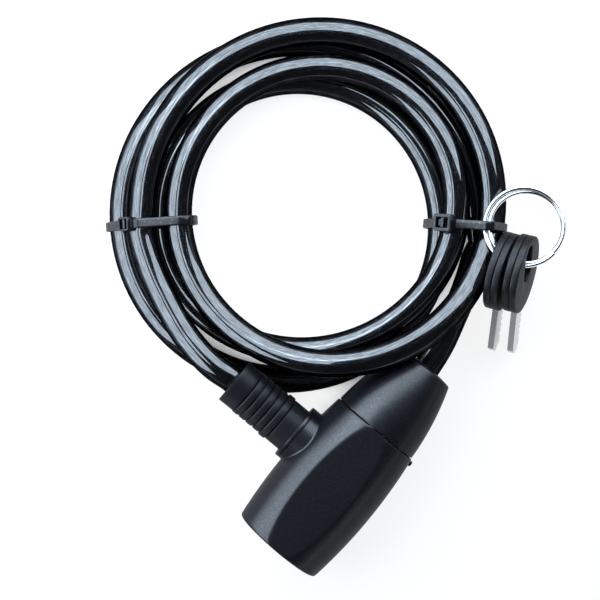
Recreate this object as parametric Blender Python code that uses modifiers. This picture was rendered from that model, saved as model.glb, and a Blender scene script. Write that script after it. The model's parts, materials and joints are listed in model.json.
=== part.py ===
"""Coiled steel-cable lock with its key ring: a barrel housing with a keyed cylinder, a plug-in cap,
a rubber boot, four loops of sleeved cable held by two ties, a split ring and two keys.

Frame, in metres: the barrel's axis runs along +Y, towards the cap, at height FACET. The cable's neck
points towards -X. The barrel lies on its lower facet, whose middle is the origin. +Z is up."""

import math

import bmesh
import bpy
from mathutils import Matrix, Vector

MM = 0.001
CLEAR = 0.3 * MM  # gap between neighbours that touch or slide

# Barrel housing
FACET = 16.9 * MM  # from the barrel's axis to its two facets, and so the axis's height
BARREL_RADIUS = 19.3 * MM  # where the barrel is widest, at Y = 0
BARREL_CURVE = 196.0 * MM  # radius of the barrel's profile
KEY_END = -26.9 * MM
SEAM = 28.4 * MM
END_BULGE = 1.0 * MM
END_ROUND = 1.4 * MM
END_WALL = 2.6 * MM
BARREL_BORE = 14.8 * MM
INDEX_RADIUS = 1.0 * MM
INDEX_HEIGHT = 0.9 * MM
INDEX_FROM_SEAM = 1.6 * MM
# Neck
NECK_Y = 8.9 * MM
NECK_RADIUS = 10.9 * MM
NECK_FACE = 22.2 * MM  # from the barrel's axis to the neck's outer face
NECK_RIM = 0.8 * MM
NECK_FLARE = 2.0 * MM
NECK_SEAT = 17.1 * MM  # from the barrel's axis to the bottom of the boot's seat
# Boot
BOOT_RADIUS = 8.8 * MM
BOOT_END = 50.8 * MM  # from the barrel's axis to the boot's open end
BOOT_SLEEVE = 6.6 * MM
BOOT_RIBS = 5
RIB_PITCH = 3.2 * MM
RIB_WIDTH = 2.2 * MM
RIB_DEPTH = 0.6 * MM
RIB_SLOPE = 0.3 * MM
RIB_BULGE = 0.4 * MM
BOOT_EDGE = 0.6 * MM
BOOT_STEP = 0.2 * MM
BOOT_RISE = 3.1 * MM  # how far the boot's end climbs over the loop that lies under it
# Cable
CABLE_RADIUS = 5.0 * MM
ROPE_RADIUS = 3.0 * MM
# Cap
CAP_WIDE = FACET + 0.25 * MM  # so that the cap is flush with the facets at the seam
CAP_WIDE_Y = 21.5 * MM
CAP_CURVE = 103.0 * MM
CAP_END = 57.2 * MM
CAP_DOME = 0.9 * MM
CAP_WALL = 2.6 * MM
CAP_END_WALL = 2.8 * MM
# Cylinder
PLUG_RADIUS = 6.0 * MM
PLUG_FLANGE = 7.5 * MM
PLUG_EDGE = 0.4 * MM
PLUG_BACK = -7.4 * MM
KEYWAY_WIDTH = 2.8 * MM
KEYWAY_HEIGHT = 8.4 * MM
WAFER_COUNT = 5
WAFER_PITCH = 2.7 * MM
WAFER_THICK = 1.2 * MM
WAFER_WIDTH = 7.2 * MM
WAFER_TRAVEL = 0.8 * MM
FIRST_WAFER = -23.0 * MM
CLIP_THICK = 0.8 * MM
CLIP_RADIUS = 7.4 * MM
CLIP_GROOVE = 4.9 * MM
CAM_THROW = 1.7 * MM
CAM_RADIUS = 1.1 * MM
# Latch and bolt
BOLT_RADIUS = 4.8 * MM
BOLT_TIP = -1.5 * MM
BOLT_NOSE = 1.6 * MM
GROOVE_Y = 4.6 * MM
GROOVE_WIDTH = 4.2 * MM
GROOVE_RADIUS = 2.5 * MM
LATCH_THICK = 2.8 * MM
LATCH_WIDTH = 11.4 * MM
LATCH_ARM_WIDTH = 5.6 * MM
LATCH_TOP = 10.2 * MM
LATCH_FOOT = 5.6 * MM
SPRING_RADIUS = 2.2 * MM
SPRING_WIRE = 0.3 * MM
SPRING_TURNS = 3
PIN_RADIUS = 1.5 * MM
PIN_INSET = 0.6 * MM  # how far a pin's ends lie below the carrier's surface
# Ferrules
FERRULE_RADIUS = 5.5 * MM
FERRULE_CUP = 4.5 * MM
FERRULE_SOLID = 4.6 * MM
CARRIER_FACE = 29.0 * MM
BOLT_SEAT = 10.0 * MM
CARRIER_END = 53.0 * MM
# Coil, seen along -Z: turn angles count clockwise from COIL_ZERO
COIL_ZERO = math.radians(-50.0)
UPPER_CENTRE = (-65.7 * MM, 79.1 * MM)
LOWER_CENTRE = (-72.4 * MM, 67.3 * MM)
UPPER_RADIUS = 66.9 * MM  # where the upper layer starts
LOWER_RADIUS = 48.5 * MM  # where the lower layer starts
LOOP_STEP = 13.1 * MM  # what an upper loop winds in
LOWER_STEP = 14.0 * MM  # what a lower loop winds out
COIL_START = 92.0
UPPER_END = 632.0
LOWER_START = 812.0
COIL_END = 1347.0
SWING_OUT = 2.6 * MM  # how far the loop that changes layer swings out
DROP_START = 675.0
DROP_END = 790.0
UPPER_Z = 16.8 * MM
LOWER_Z = 5.1 * MM
STRAP_THICK = 1.2 * MM
HUMP = 12.1 * MM  # the loop that lies over the cap
HUMP_AT = 327.0
HUMP_BEFORE = 58.0
HUMP_AFTER = 100.0
COIL_POINTS = 24
STRAIGHT_END = 10.0 * MM
# Free stretches, in millimetres: from the boot up to the coil, and from the coil under the hump to the cap
BOOT_ROUTE = ((-59.5, 8.2, 20.6), (-68.0, 8.9, 20.0), (-77.1, 10.9, 19.0), (-87.4, 14.7, 17.9), (-97.6, 19.3, 17.1),
              (-105.9, 24.2, 16.9))
CAP_ROUTE = ((-11.6, 100.2, 7.0), (-8.9, 93.7, 8.7), (-6.2, 85.7, 11.0), (-3.8, 76.9, 13.6), (-1.3, 67.0, 15.8))
FACE_STRAIGHT = 2.0 * MM
ROUTE_STEP = 6.0 * MM
# Ties
TIE_DIRECTIONS = (86.2, 274.7)
STRAP_WIDTH = 3.4 * MM
TIE_HEADS = ((5.6 * MM, 5.0 * MM, 3.2 * MM), (7.2 * MM, 6.2 * MM, 4.4 * MM))  # length, width, height
TIE_HEAD_LEANS = (45.0, 122.0)  # direction in which each tie's head faces, from the coil's outside
# Key ring
RING_RADIUS = 14.2 * MM
RING_WIRE = 0.8 * MM
RING_PITCH = 1.8 * MM
RING_TURNS = 2
RING_START = 45.0
RING_POINTS = 24
RING_SET_IN = 1.5 * MM  # how far inside the outermost loop's middle the ring is tied
RING_TILT = math.radians(6.0)
RING_LIFT = 24.5 * MM  # height of the ring's wires where they pass under the tie
RING_AWAY = math.radians(40.0)  # direction in which the ring lies from the coil
# Keys
KEY_HEAD_RADIUS = 14.25 * MM
KEY_HEAD_THICK = 5.2 * MM
KEY_HOLE_LENGTH = 14.4 * MM
KEY_HOLE_WIDTH = 8.0 * MM
KEY_HOLE_OFFSET = 4.8 * MM
KEY_SLIDES = (1.5 * MM, 0.0)  # how far each key has slid along its hole
KEY_BLADE_LENGTH = 20.5 * MM
KEY_BLADE_WIDTH = 7.0 * MM
KEY_BLADE_THICK = 2.2 * MM
KEY_RIM = 0.5 * MM
KEY_PARTING = 0.25 * MM
KEY_POINT = 2.6 * MM
KEY_NOSE = 0.8 * MM
KEY_FIRST_CUT = 4.0 * MM  # from the head's rim
KEY_CUT_LEAST = 0.7 * MM
KEY_CUT_STEP = 0.5 * MM
KEY_CUT_TOP = 0.9 * MM
KEY_CUT_FLAT = 0.3 * MM
KEY_MILL_DEPTH = 0.7 * MM
KEY_MILL_WIDTH = 1.4 * MM
KEY_RING_ANGLES = (122.5, 95.0)  # where each key hangs on the ring
KEY_STRIKES = (16.5, 14.5)
KEY_LEAN = math.radians(19.0)
KEY_SLOPE = math.radians(36.5)


# Collections, materials and placing


def clear_scene():
    for obj in list(bpy.data.objects):
        bpy.data.objects.remove(obj, do_unlink=True)


def new_collection(name):
    collection = bpy.data.collections.new(name)
    bpy.context.scene.collection.children.link(collection)
    return collection


def material(name, colour, roughness, metallic):
    made = bpy.data.materials.new(name)
    made.use_nodes = True
    shader = made.node_tree.nodes["Principled BSDF"]
    shader.inputs["Base Color"].default_value = (*colour, 1.0)
    shader.inputs["Roughness"].default_value = roughness
    shader.inputs["Metallic"].default_value = metallic
    return made


def as_object(name, mesh, place):
    obj = bpy.data.objects.new(name, mesh)
    obj.matrix_world = place
    return obj


def finish(obj, collection, look, parent=None):
    """Put a finished piece in its collection, with its material and its carrier."""
    collection.objects.link(obj)
    obj.data.materials.clear()
    obj.data.materials.append(look)
    if obj.type == "MESH":
        obj.data.shade_smooth()
        obj.data.set_sharp_from_angle(angle=math.radians(35))
    if parent:
        place = obj.matrix_world.copy()
        obj.parent = parent
        obj.matrix_parent_inverse = parent.matrix_world.inverted()
        obj.matrix_world = place
    return obj


def along_y(y=0.0):
    """A place whose local Z is the barrel's axis."""
    return Matrix.Translation((0, y, FACET)) @ Matrix.Rotation(math.radians(-90), 4, "X")


def along_neck():
    """A place whose local Z runs out of the barrel along the neck's axis."""
    return Matrix.Translation((0, NECK_Y, FACET)) @ Matrix.Rotation(math.radians(-90), 4, "Y")


def upright(x, y, z):
    return Matrix.Translation((x, y, z))


def frame_of(origin, x_axis, y_axis):
    """A place from its origin and two axes at right angles."""
    x_axis = Vector(x_axis).normalized()
    z_axis = x_axis.cross(Vector(y_axis)).normalized()
    y_axis = z_axis.cross(x_axis)
    turned_place = Matrix((x_axis, y_axis, z_axis)).transposed().to_4x4()
    return Matrix.Translation(origin) @ turned_place


# Shapes


def turned(name, profile, steps, place, closed=False):
    """A turned shape: (radius, height) points that run down the outer side."""
    count = len(profile)
    edges = [(i, i + 1) for i in range(count - 1)]
    if closed:
        edges.append((count - 1, 0))
    mesh = bpy.data.meshes.new(name)
    mesh.from_pydata([(r, 0, h) for r, h in profile], edges, [])
    obj = as_object(name, mesh, place)
    screw = obj.modifiers.new("Turn", "SCREW")
    screw.steps = steps
    screw.render_steps = steps
    screw.use_merge_vertices = True
    screw.merge_threshold = 0.00001
    return obj


def cylinder(name, radius, low, high, place, sides=24):
    """A cylinder between two heights of a place's local Z."""
    shape = bmesh.new()
    middle = Matrix.Translation((0, 0, (low + high) / 2))
    bmesh.ops.create_cone(
        shape, cap_ends=True, segments=sides, radius1=radius, radius2=radius, depth=high - low, matrix=middle
    )
    mesh = bpy.data.meshes.new(name)
    shape.to_mesh(mesh)
    shape.free()
    return as_object(name, mesh, place)


def box(name, low, high, place=None, bevel=0.0):
    """A box between two corners of a place's local axes."""
    size = [b - a for a, b in zip(low, high)]
    middle = [(a + b) / 2 for a, b in zip(low, high)]
    shape = bmesh.new()
    bmesh.ops.create_cube(shape, size=1.0, matrix=Matrix.Translation(middle) @ Matrix.Diagonal((*size, 1)))
    mesh = bpy.data.meshes.new(name)
    shape.to_mesh(mesh)
    shape.free()
    obj = as_object(name, mesh, place or Matrix())
    if bevel:
        rounding = obj.modifiers.new("Round", "BEVEL")
        rounding.width = bevel
        rounding.segments = 2
    return obj


def as_mesh(obj, merge=0.000001):
    """The evaluated shape of an object as a plain mesh object, in the same place."""
    helper = bpy.context.scene.collection
    helper.objects.link(obj)
    bpy.context.view_layer.update()
    graph = bpy.context.evaluated_depsgraph_get()
    mesh = bpy.data.meshes.new_from_object(obj.evaluated_get(graph))
    shape = bmesh.new()
    shape.from_mesh(mesh)
    bmesh.ops.remove_doubles(shape, verts=shape.verts, dist=merge)
    bmesh.ops.recalc_face_normals(shape, faces=shape.faces)
    shape.to_mesh(mesh)
    shape.free()
    name = obj.name
    place = obj.matrix_world.copy()
    bpy.data.objects.remove(obj, do_unlink=True)
    made = as_object(name, mesh, place)
    made.name = name
    return made


def outline(name, loops, depth, place):
    """A flat outline with holes, given depth equally to both sides of its plane."""
    curve = bpy.data.curves.new(name, "CURVE")
    curve.dimensions = "2D"
    curve.fill_mode = "BOTH"
    curve.extrude = depth / 2
    for loop in loops:
        spline = curve.splines.new("POLY")
        spline.points.add(len(loop) - 1)
        for point, (x, y) in zip(spline.points, loop):
            point.co = (x, y, 0, 1)
        spline.use_cyclic_u = True
    return as_mesh(as_object(name, curve, place))


def tube(name, points, radius, resolution, place=None):
    """A tube with closed ends along a line of points."""
    curve = bpy.data.curves.new(name, "CURVE")
    curve.dimensions = "3D"
    curve.bevel_depth = radius
    curve.bevel_resolution = resolution
    curve.use_fill_caps = True
    spline = curve.splines.new("POLY")
    spline.points.add(len(points) - 1)
    for point, co in zip(spline.points, points):
        point.co = (*co, 1)
    return as_object(name, curve, place or Matrix())


def combine(target, other, operation, helpers):
    helpers.objects.link(other)
    other.hide_render = True
    other.display_type = "WIRE"
    step = target.modifiers.new(other.name, "BOOLEAN")
    step.operation = operation
    step.object = other
    step.solver = "EXACT"


def cut(target, helpers, *cutters):
    for cutter in cutters:
        combine(target, cutter, "DIFFERENCE", helpers)


def join(target, helpers, *others):
    for other in others:
        combine(target, other, "UNION", helpers)


def steps_between(first, last, count):
    return [first + (last - first) * i / (count - 1) for i in range(count)]


def smooth_curve(route, spacing):
    """Evenly spaced points on a smooth curve through a route. Its first and last points only guide the ends."""
    fine = []
    for a, b, c, d in zip(route, route[1:], route[2:], route[3:]):
        for t in steps_between(0.0, 1.0, 17)[:-1]:
            bend = 2 * b + (c - a) * t + (2 * a - 5 * b + 4 * c - d) * t**2 + (3 * b - a - 3 * c + d) * t**3
            fine.append(0.5 * bend)
    fine.append(route[-2])
    return even_points(fine, spacing)


def even_points(fine, spacing):
    lengths = [0.0]
    for a, b in zip(fine, fine[1:]):
        lengths.append(lengths[-1] + (b - a).length)
    count = max(2, round(lengths[-1] / spacing) + 1)
    points = []
    at = 0
    for wanted in steps_between(0.0, lengths[-1], count):
        while at < len(fine) - 2 and lengths[at + 1] < wanted:
            at += 1
        share = (wanted - lengths[at]) / (lengths[at + 1] - lengths[at])
        points.append(fine[at].lerp(fine[at + 1], share))
    return points


# The barrel's and the cap's profiles


def barrel_radius(y):
    return BARREL_RADIUS - BARREL_CURVE + math.sqrt(BARREL_CURVE**2 - y**2)


def cap_radius(y):
    return CAP_WIDE - CAP_CURVE + math.sqrt(CAP_CURVE**2 - (y - CAP_WIDE_Y) ** 2)


def key_face(radius):
    """Where the domed key end lies at a radius."""
    return KEY_END - END_BULGE * (1 - (radius / barrel_radius(KEY_END)) ** 2)


def housing_shell(helpers):
    shoulder = KEY_END + END_ROUND
    rim = barrel_radius(KEY_END)
    profile = [(0, SEAM), (barrel_radius(SEAM), SEAM)]
    profile += [(barrel_radius(y), y) for y in steps_between(SEAM, shoulder, 10)[1:]]
    for angle in (30, 60, 90):
        turn = math.radians(angle)
        profile.append((rim - END_ROUND * (1 - math.cos(turn)), shoulder - END_ROUND * math.sin(turn)))
    profile += [(r, key_face(r)) for r in steps_between(rim - END_ROUND, 0, 4)[1:]]
    shell = turned("housing_shell", profile, 48, along_y())
    join(shell, helpers, neck_collar(), index_pip())
    reach = 2 * BARREL_RADIUS
    for side, name in ((1, "top_facet"), (-1, "rest_facet")):
        heights = sorted((FACET + side * FACET, FACET + side * reach))
        cut(shell, helpers, box(name, (-reach, KEY_END * 1.2, heights[0]), (reach, SEAM * 1.2, heights[1])))
    inside = KEY_END + END_WALL
    cut(shell, helpers, cylinder("barrel_bore", BARREL_BORE, inside, SEAM * 1.2, along_y(), 40))
    cut(shell, helpers, cylinder("plug_window", PLUG_FLANGE + CLEAR, KEY_END * 1.2, 0, along_y(), 32))
    cut(shell, helpers, cylinder("boot_seat", BOOT_RADIUS + CLEAR, NECK_SEAT, NECK_FACE * 1.2, along_neck()))
    cut(shell, helpers, cylinder("neck_bore", FERRULE_RADIUS + CLEAR, 0, NECK_FACE, along_neck()))
    return shell


def neck_collar():
    root = BARREL_BORE - 2 * MM
    flared = NECK_RADIUS + NECK_FLARE
    profile = [(0, NECK_FACE), (NECK_RADIUS - NECK_RIM, NECK_FACE), (NECK_RADIUS, NECK_FACE - NECK_RIM)]
    for angle in (0, 30, 60, 90):
        turn = math.radians(angle)
        height = NECK_SEAT + 2 * NECK_FLARE * (1 - math.sin(turn)) - NECK_FLARE / 2
        profile.append((flared - NECK_FLARE * math.cos(turn), height))
    profile += [(flared, root), (0, root)]
    return turned("neck_collar", profile, 32, along_neck())


def index_pip():
    reach = barrel_radius(SEAM) + INDEX_HEIGHT
    place = Matrix.Translation((0, SEAM - INDEX_FROM_SEAM, FACET)) @ Matrix.Rotation(math.radians(90), 4, "Y")
    return cylinder("index_pip", INDEX_RADIUS, BARREL_BORE, reach, place, 12)


def cap_shell():
    dome_edge = cap_radius(CAP_END)
    hole = CABLE_RADIUS + CLEAR
    profile = []
    for radius in steps_between(hole, dome_edge - END_ROUND / 2, 3):
        profile.append((radius, CAP_END + CAP_DOME * (1 - (radius / dome_edge) ** 2)))
    profile += [(cap_radius(y), y) for y in steps_between(CAP_END - END_ROUND / 2, SEAM + CLEAR, 9)]
    inner = [(cap_radius(y) - CAP_WALL, y) for y in steps_between(SEAM + CLEAR, CAP_END - CAP_END_WALL, 5)]
    profile += inner + [(hole, CAP_END - CAP_END_WALL)]
    return turned("cap_shell", profile, 44, along_y(), closed=True)


def boot_profile():
    """The boot's section: ribs between two smooth sleeves, round a bore for the cable."""
    end_sleeve = BOOT_END - NECK_FACE - BOOT_SLEEVE - BOOT_RIBS * RIB_PITCH
    profile = [(BOOT_RADIUS - BOOT_EDGE, BOOT_END), (BOOT_RADIUS, BOOT_END - BOOT_EDGE)]
    profile.append((BOOT_RADIUS - BOOT_STEP, BOOT_END - 2 * BOOT_EDGE))
    top = BOOT_END - end_sleeve
    profile.append((BOOT_RADIUS - BOOT_STEP, top))
    groove = RIB_PITCH - RIB_WIDTH
    for rib in range(BOOT_RIBS):
        crest = BOOT_RADIUS + (RIB_BULGE if rib == BOOT_RIBS - 1 else 0)
        start = top - rib * RIB_PITCH
        profile.append((BOOT_RADIUS - RIB_DEPTH, start - RIB_SLOPE))
        profile.append((BOOT_RADIUS - RIB_DEPTH, start - groove))
        profile.append((crest, start - groove - RIB_SLOPE))
        profile.append((crest, start - RIB_PITCH + RIB_SLOPE / 3))
    profile.append((BOOT_RADIUS, NECK_FACE + BOOT_SLEEVE - RIB_SLOPE))
    profile.append((BOOT_RADIUS, NECK_FACE))
    profile.append((BOOT_RADIUS, NECK_SEAT + CLEAR))
    bore = CABLE_RADIUS + CLEAR
    profile += [(bore, h) for h in steps_between(NECK_SEAT + CLEAR, BOOT_END, 9)]
    return profile


def boot_arc(out):
    """(reach, rise, slope) of the boot's middle line at a distance along it from the barrel's axis."""
    free = BOOT_END - NECK_FACE
    curve = free**2 / (2 * BOOT_RISE)
    if out <= NECK_FACE:
        return out, 0.0, 0.0
    slope = (out - NECK_FACE) / curve
    return NECK_FACE + curve * math.sin(slope), curve * (1 - math.cos(slope)), slope


def boot():
    """The ribbed boot, turned straight and then bent up along its arc."""
    straight = as_mesh(turned("boot", boot_profile(), 20, Matrix(), closed=True))
    for vertex in straight.data.vertices:
        across, up, out = vertex.co
        reach, rise, slope = boot_arc(out)
        height = FACET + rise + up * math.cos(slope)
        vertex.co = (-reach + up * math.sin(slope), NECK_Y + across, height)
    shape = bmesh.new()
    shape.from_mesh(straight.data)
    bmesh.ops.recalc_face_normals(shape, faces=shape.faces)
    shape.to_mesh(straight.data)
    shape.free()
    return straight


# Cylinder, latch and core


def wafer_places():
    return [FIRST_WAFER + i * WAFER_PITCH for i in range(WAFER_COUNT)]


def plug_front():
    return key_face(PLUG_FLANGE)


def cylinder_plug(helpers):
    back = PLUG_BACK
    groove = back - 2 * CLIP_THICK
    flange_back = KEY_END + END_WALL - CLEAR
    profile = [
        (0, back),
        (PLUG_RADIUS, back),
        (PLUG_RADIUS, groove + CLIP_THICK),
        (CLIP_GROOVE, groove + CLIP_THICK),
        (CLIP_GROOVE, groove - 2 * CLEAR),
        (PLUG_RADIUS, groove - 2 * CLEAR),
        (PLUG_RADIUS, flange_back),
        (PLUG_FLANGE, flange_back),
        (PLUG_FLANGE, plug_front() + PLUG_EDGE),
        (PLUG_FLANGE - PLUG_EDGE, plug_front()),
        (0, plug_front()),
    ]
    plug = turned("cylinder_plug", profile, 32, along_y())
    angle = math.radians(45)
    crank = Matrix.Translation((CAM_THROW * math.cos(angle), 0, FACET + CAM_THROW * math.sin(angle)))
    crank = crank @ Matrix.Rotation(math.radians(-90), 4, "X")
    join(plug, helpers, cylinder("cam_pin", CAM_RADIUS, back - 1 * MM, latch_back() - CLEAR, crank, 12))
    half = KEYWAY_WIDTH / 2
    deep = groove - 1.2 * MM
    low = (-half, plug_front() * 1.1, FACET - KEYWAY_HEIGHT / 2)
    cut(plug, helpers, box("keyway", low, (half, deep, FACET + KEYWAY_HEIGHT / 2)))
    wide = WAFER_WIDTH / 2 + CLEAR
    thick = WAFER_THICK / 2 + CLEAR
    for number, y in enumerate(wafer_places(), 1):
        slot = box(f"wafer_slot_{number}", (-wide, y - thick, 0), (wide, y + thick, 2 * FACET))
        cut(plug, helpers, slot)
    return plug


def latch_front():
    """The -Y face of the latch's plate."""
    return PLUG_BACK + 2.2 * MM


def latch_back():
    return latch_front() + LATCH_THICK


def wafer(number, y):
    """A wafer, flush with the plug, with the window that the key's blade passes through."""
    tall = math.sqrt(PLUG_RADIUS**2 - (WAFER_WIDTH / 2) ** 2)
    wide = WAFER_WIDTH / 2
    window = (KEYWAY_WIDTH / 2 + CLEAR, KEYWAY_HEIGHT / 2 - 0.9 * MM)
    place = frame_of((0, y, FACET), (1, 0, 0), (0, 0, 1))
    outer = [(-wide, -tall), (wide, -tall), (wide, tall), (-wide, tall)]
    inner = [(-window[0], -window[1]), (window[0], -window[1]), (window[0], window[1]), (-window[0], window[1])]
    return outline(f"wafer_{number}", [outer, inner], WAFER_THICK, place)


def plug_clip(helpers):
    """The open clip in the plug's groove, behind the core's bore."""
    back = PLUG_BACK - 2 * CLIP_THICK + CLIP_THICK - CLEAR
    inner = CLIP_GROOVE + CLEAR
    profile = [(CLIP_RADIUS, back), (CLIP_RADIUS, back - CLIP_THICK), (inner, back - CLIP_THICK), (inner, back)]
    clip = turned("plug_clip", profile, 28, along_y(), closed=True)
    mouth = PLUG_RADIUS / 2
    cut(clip, helpers, box("clip_mouth", (-mouth, PLUG_BACK * 2, FACET - 2 * PLUG_RADIUS), (mouth, 0, FACET)))
    return clip


def latch(helpers):
    """The latch drawn back: a plate that the cam moves, an arm over the bolt and a nose above its groove."""
    half = LATCH_WIDTH / 2
    arm = LATCH_ARM_WIDTH / 2
    top = FACET + LATCH_TOP
    travel = latch_travel()
    arm_under = FACET + BOLT_RADIUS + CLEAR + travel + 0.2 * MM
    nose_under = FACET + BOLT_RADIUS + 0.4 * MM
    nose_half = GROOVE_WIDTH / 2 - 0.4 * MM
    body = box("latch", (-half, latch_front(), FACET - LATCH_FOOT), (half, latch_back(), top))
    arm_end = GROOVE_Y + nose_half
    join(body, helpers, box("latch_arm", (-arm, latch_back() - 1 * MM, arm_under), (arm, arm_end, top)))
    nose_top = arm_under + 1 * MM
    nose = box("latch_nose", (-arm, GROOVE_Y - nose_half, nose_under), (arm, arm_end, nose_top))
    join(body, helpers, nose)
    rise = CAM_THROW * math.sin(math.radians(45))
    slot = CAM_RADIUS + CLEAR + 0.1 * MM
    low = (CAM_THROW * 0.7 - slot, latch_front() - 1 * MM, FACET + rise - slot)
    high = (CAM_THROW + slot, latch_back() + 1 * MM, FACET + rise + slot)
    cut(body, helpers, box("cam_slot", low, high))
    return body


def latch_travel():
    return 2 * CAM_THROW * math.sin(math.radians(45))


def spring_points(turns, low, high, radius, a_turn):
    points = []
    for i in range(turns * a_turn + 1):
        angle = 2 * math.pi * i / a_turn
        height = low + (high - low) * i / (turns * a_turn)
        points.append((radius * math.cos(angle), radius * math.sin(angle), height))
    return points


def latch_spring():
    """Compression spring between the latch and the housing's wall."""
    low = FACET + LATCH_TOP + CLEAR + SPRING_WIRE
    high = FACET + BARREL_BORE - CLEAR - 2 * SPRING_WIRE
    points = spring_points(SPRING_TURNS, low, high, SPRING_RADIUS, 8)
    middle = (latch_back() + GROOVE_Y) / 2
    return tube("latch_spring", points, SPRING_WIRE, 1, upright(0, middle, 0))


def lock_core(helpers):
    """The die-cast core: bores for the plug, the bolt and the neck's ferrule, and a slot for the latch."""
    radius = BARREL_BORE - CLEAR
    front = KEY_END + END_WALL + CLEAR
    profile = [(0, SEAM - CLEAR), (radius, SEAM - CLEAR), (radius, front), (0, front)]
    core = turned("lock_core", profile, 40, along_y())
    clip_room = PLUG_BACK - 2 * CLIP_THICK - 2 * CLEAR
    cut(core, helpers, cylinder("plug_bore", PLUG_RADIUS + CLEAR, front * 1.1, clip_room + 0.1 * MM, along_y(), 32))
    cut(core, helpers, cylinder("clip_room", CLIP_RADIUS + 2 * CLEAR, clip_room, latch_front() - CLEAR, along_y(), 24))
    groove_end = wafer_places()[-1] + WAFER_THICK + CLEAR
    wide = WAFER_WIDTH / 2 + 2 * CLEAR
    reach = PLUG_RADIUS + WAFER_TRAVEL + 2 * CLEAR
    for name, x, z in (("grooves_upright", wide, reach), ("grooves_level", reach, wide)):
        cut(core, helpers, box(name, (-x, front * 1.1, FACET - z), (x, groove_end, FACET + z)))
    half = LATCH_WIDTH / 2 + CLEAR
    lowest = FACET - LATCH_FOOT - latch_travel() - CLEAR
    above = FACET + BARREL_RADIUS
    plate = box("plate_slot", (-half, latch_front() - CLEAR, lowest), (half, latch_back() + CLEAR, above))
    arm = LATCH_ARM_WIDTH / 2 + CLEAR
    arm_end = GROOVE_Y + GROOVE_WIDTH / 2 + CLEAR
    over = box("arm_slot", (-arm, latch_back(), FACET), (arm, arm_end, above))
    bore = cylinder("bolt_bore", BOLT_RADIUS + CLEAR, latch_back(), SEAM * 1.2, along_y(), 24)
    neck = cylinder("ferrule_bore", FERRULE_RADIUS + CLEAR, neck_ferrule_start() - CLEAR, BARREL_RADIUS, along_neck())
    cut(core, helpers, plate, over, bore, neck)
    reach = BARREL_RADIUS
    hole = cylinder("neck_pin_hole", PIN_RADIUS + CLEAR, -reach, reach, neck_pin_place(), 16)
    cut(core, helpers, hole)
    return core


# Bolt, carrier, ferrules and rope ends


def locking_bolt(helpers):
    low = GROOVE_Y - GROOVE_WIDTH / 2
    high = GROOVE_Y + GROOVE_WIDTH / 2
    back = CARRIER_FACE + BOLT_SEAT
    profile = [
        (0, back),
        (BOLT_RADIUS, back),
        (BOLT_RADIUS, high),
        (GROOVE_RADIUS, high),
        (GROOVE_RADIUS, low),
        (BOLT_RADIUS, low),
        (BOLT_RADIUS, BOLT_TIP + BOLT_NOSE),
        (BOLT_RADIUS - BOLT_NOSE, BOLT_TIP),
        (0, BOLT_TIP),
    ]
    bolt = turned("locking_bolt", profile, 28, along_y())
    hole = PIN_RADIUS + CLEAR
    cut(bolt, helpers, cylinder("bolt_pin_hole", hole, -FACET, FACET, bolt_pin_place(), 16))
    return bolt


def bolt_pin_place():
    return upright(0, CARRIER_FACE + BOLT_SEAT / 2, FACET)


def cap_pin_place():
    return upright(0, CARRIER_END - FERRULE_CUP - FERRULE_SOLID / 2 - CLEAR, FACET)


def neck_pin_place():
    return upright(-(neck_ferrule_start() + FERRULE_SOLID / 2), NECK_Y, FACET)


def neck_ferrule_start():
    return NECK_SEAT - FERRULE_SOLID - FERRULE_CUP


def carrier_radius(y):
    return cap_radius(y) - CAP_WALL - CLEAR


def bolt_carrier(helpers):
    """The insert in the cap that holds the bolt at one end and the cable's ferrule at the other."""
    rear = FERRULE_RADIUS + CLEAR
    web = cap_pin_place().translation.y - FERRULE_SOLID / 2 - CLEAR
    profile = [(rear, CARRIER_END)]
    profile += [(carrier_radius(y), y) for y in steps_between(CARRIER_END, CARRIER_FACE, 5)]
    profile += [(0, CARRIER_FACE), (0, web), (rear, web)]
    carrier = turned("bolt_carrier", profile, 32, along_y(), closed=True)
    seat = CARRIER_FACE + BOLT_SEAT + CLEAR
    cut(carrier, helpers, cylinder("bolt_seat", BOLT_RADIUS + CLEAR, SEAM, seat, along_y(), 24))
    hole = PIN_RADIUS + CLEAR
    cut(carrier, helpers, cylinder("carrier_bolt_pin_hole", hole, -2 * FACET, 2 * FACET, bolt_pin_place(), 16))
    cut(carrier, helpers, cylinder("carrier_ferrule_pin_hole", hole, -2 * FACET, 2 * FACET, cap_pin_place(), 16))
    return carrier


def ferrule(name, start, place, pin_place, helpers):
    """A crimped ferrule: a solid end with a pin hole, and a cup for the rope."""
    cup = start + FERRULE_SOLID
    end = cup + FERRULE_CUP
    bore = ROPE_RADIUS + CLEAR
    profile = [(bore, end), (FERRULE_RADIUS, end), (FERRULE_RADIUS, start), (0, start), (0, cup), (bore, cup)]
    made = turned(name, profile, 20, place, closed=True)
    hole = PIN_RADIUS + CLEAR
    cut(made, helpers, cylinder(name + "_pin_hole", hole, -2 * FERRULE_RADIUS, 2 * FERRULE_RADIUS, pin_place, 16))
    return made


def pin(name, reach, place):
    return cylinder(name, PIN_RADIUS, -reach, reach, place, 12)


def rope_end(name, start, place):
    cup = start + FERRULE_SOLID
    return cylinder(name, ROPE_RADIUS, cup + CLEAR, cup + FERRULE_CUP, place, 16)


# The coil


def ease(value, start, end):
    """0 before start, 1 after end, smooth between."""
    t = min(1.0, max(0.0, (value - start) / (end - start)))
    return t * t * (3 - 2 * t)


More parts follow.
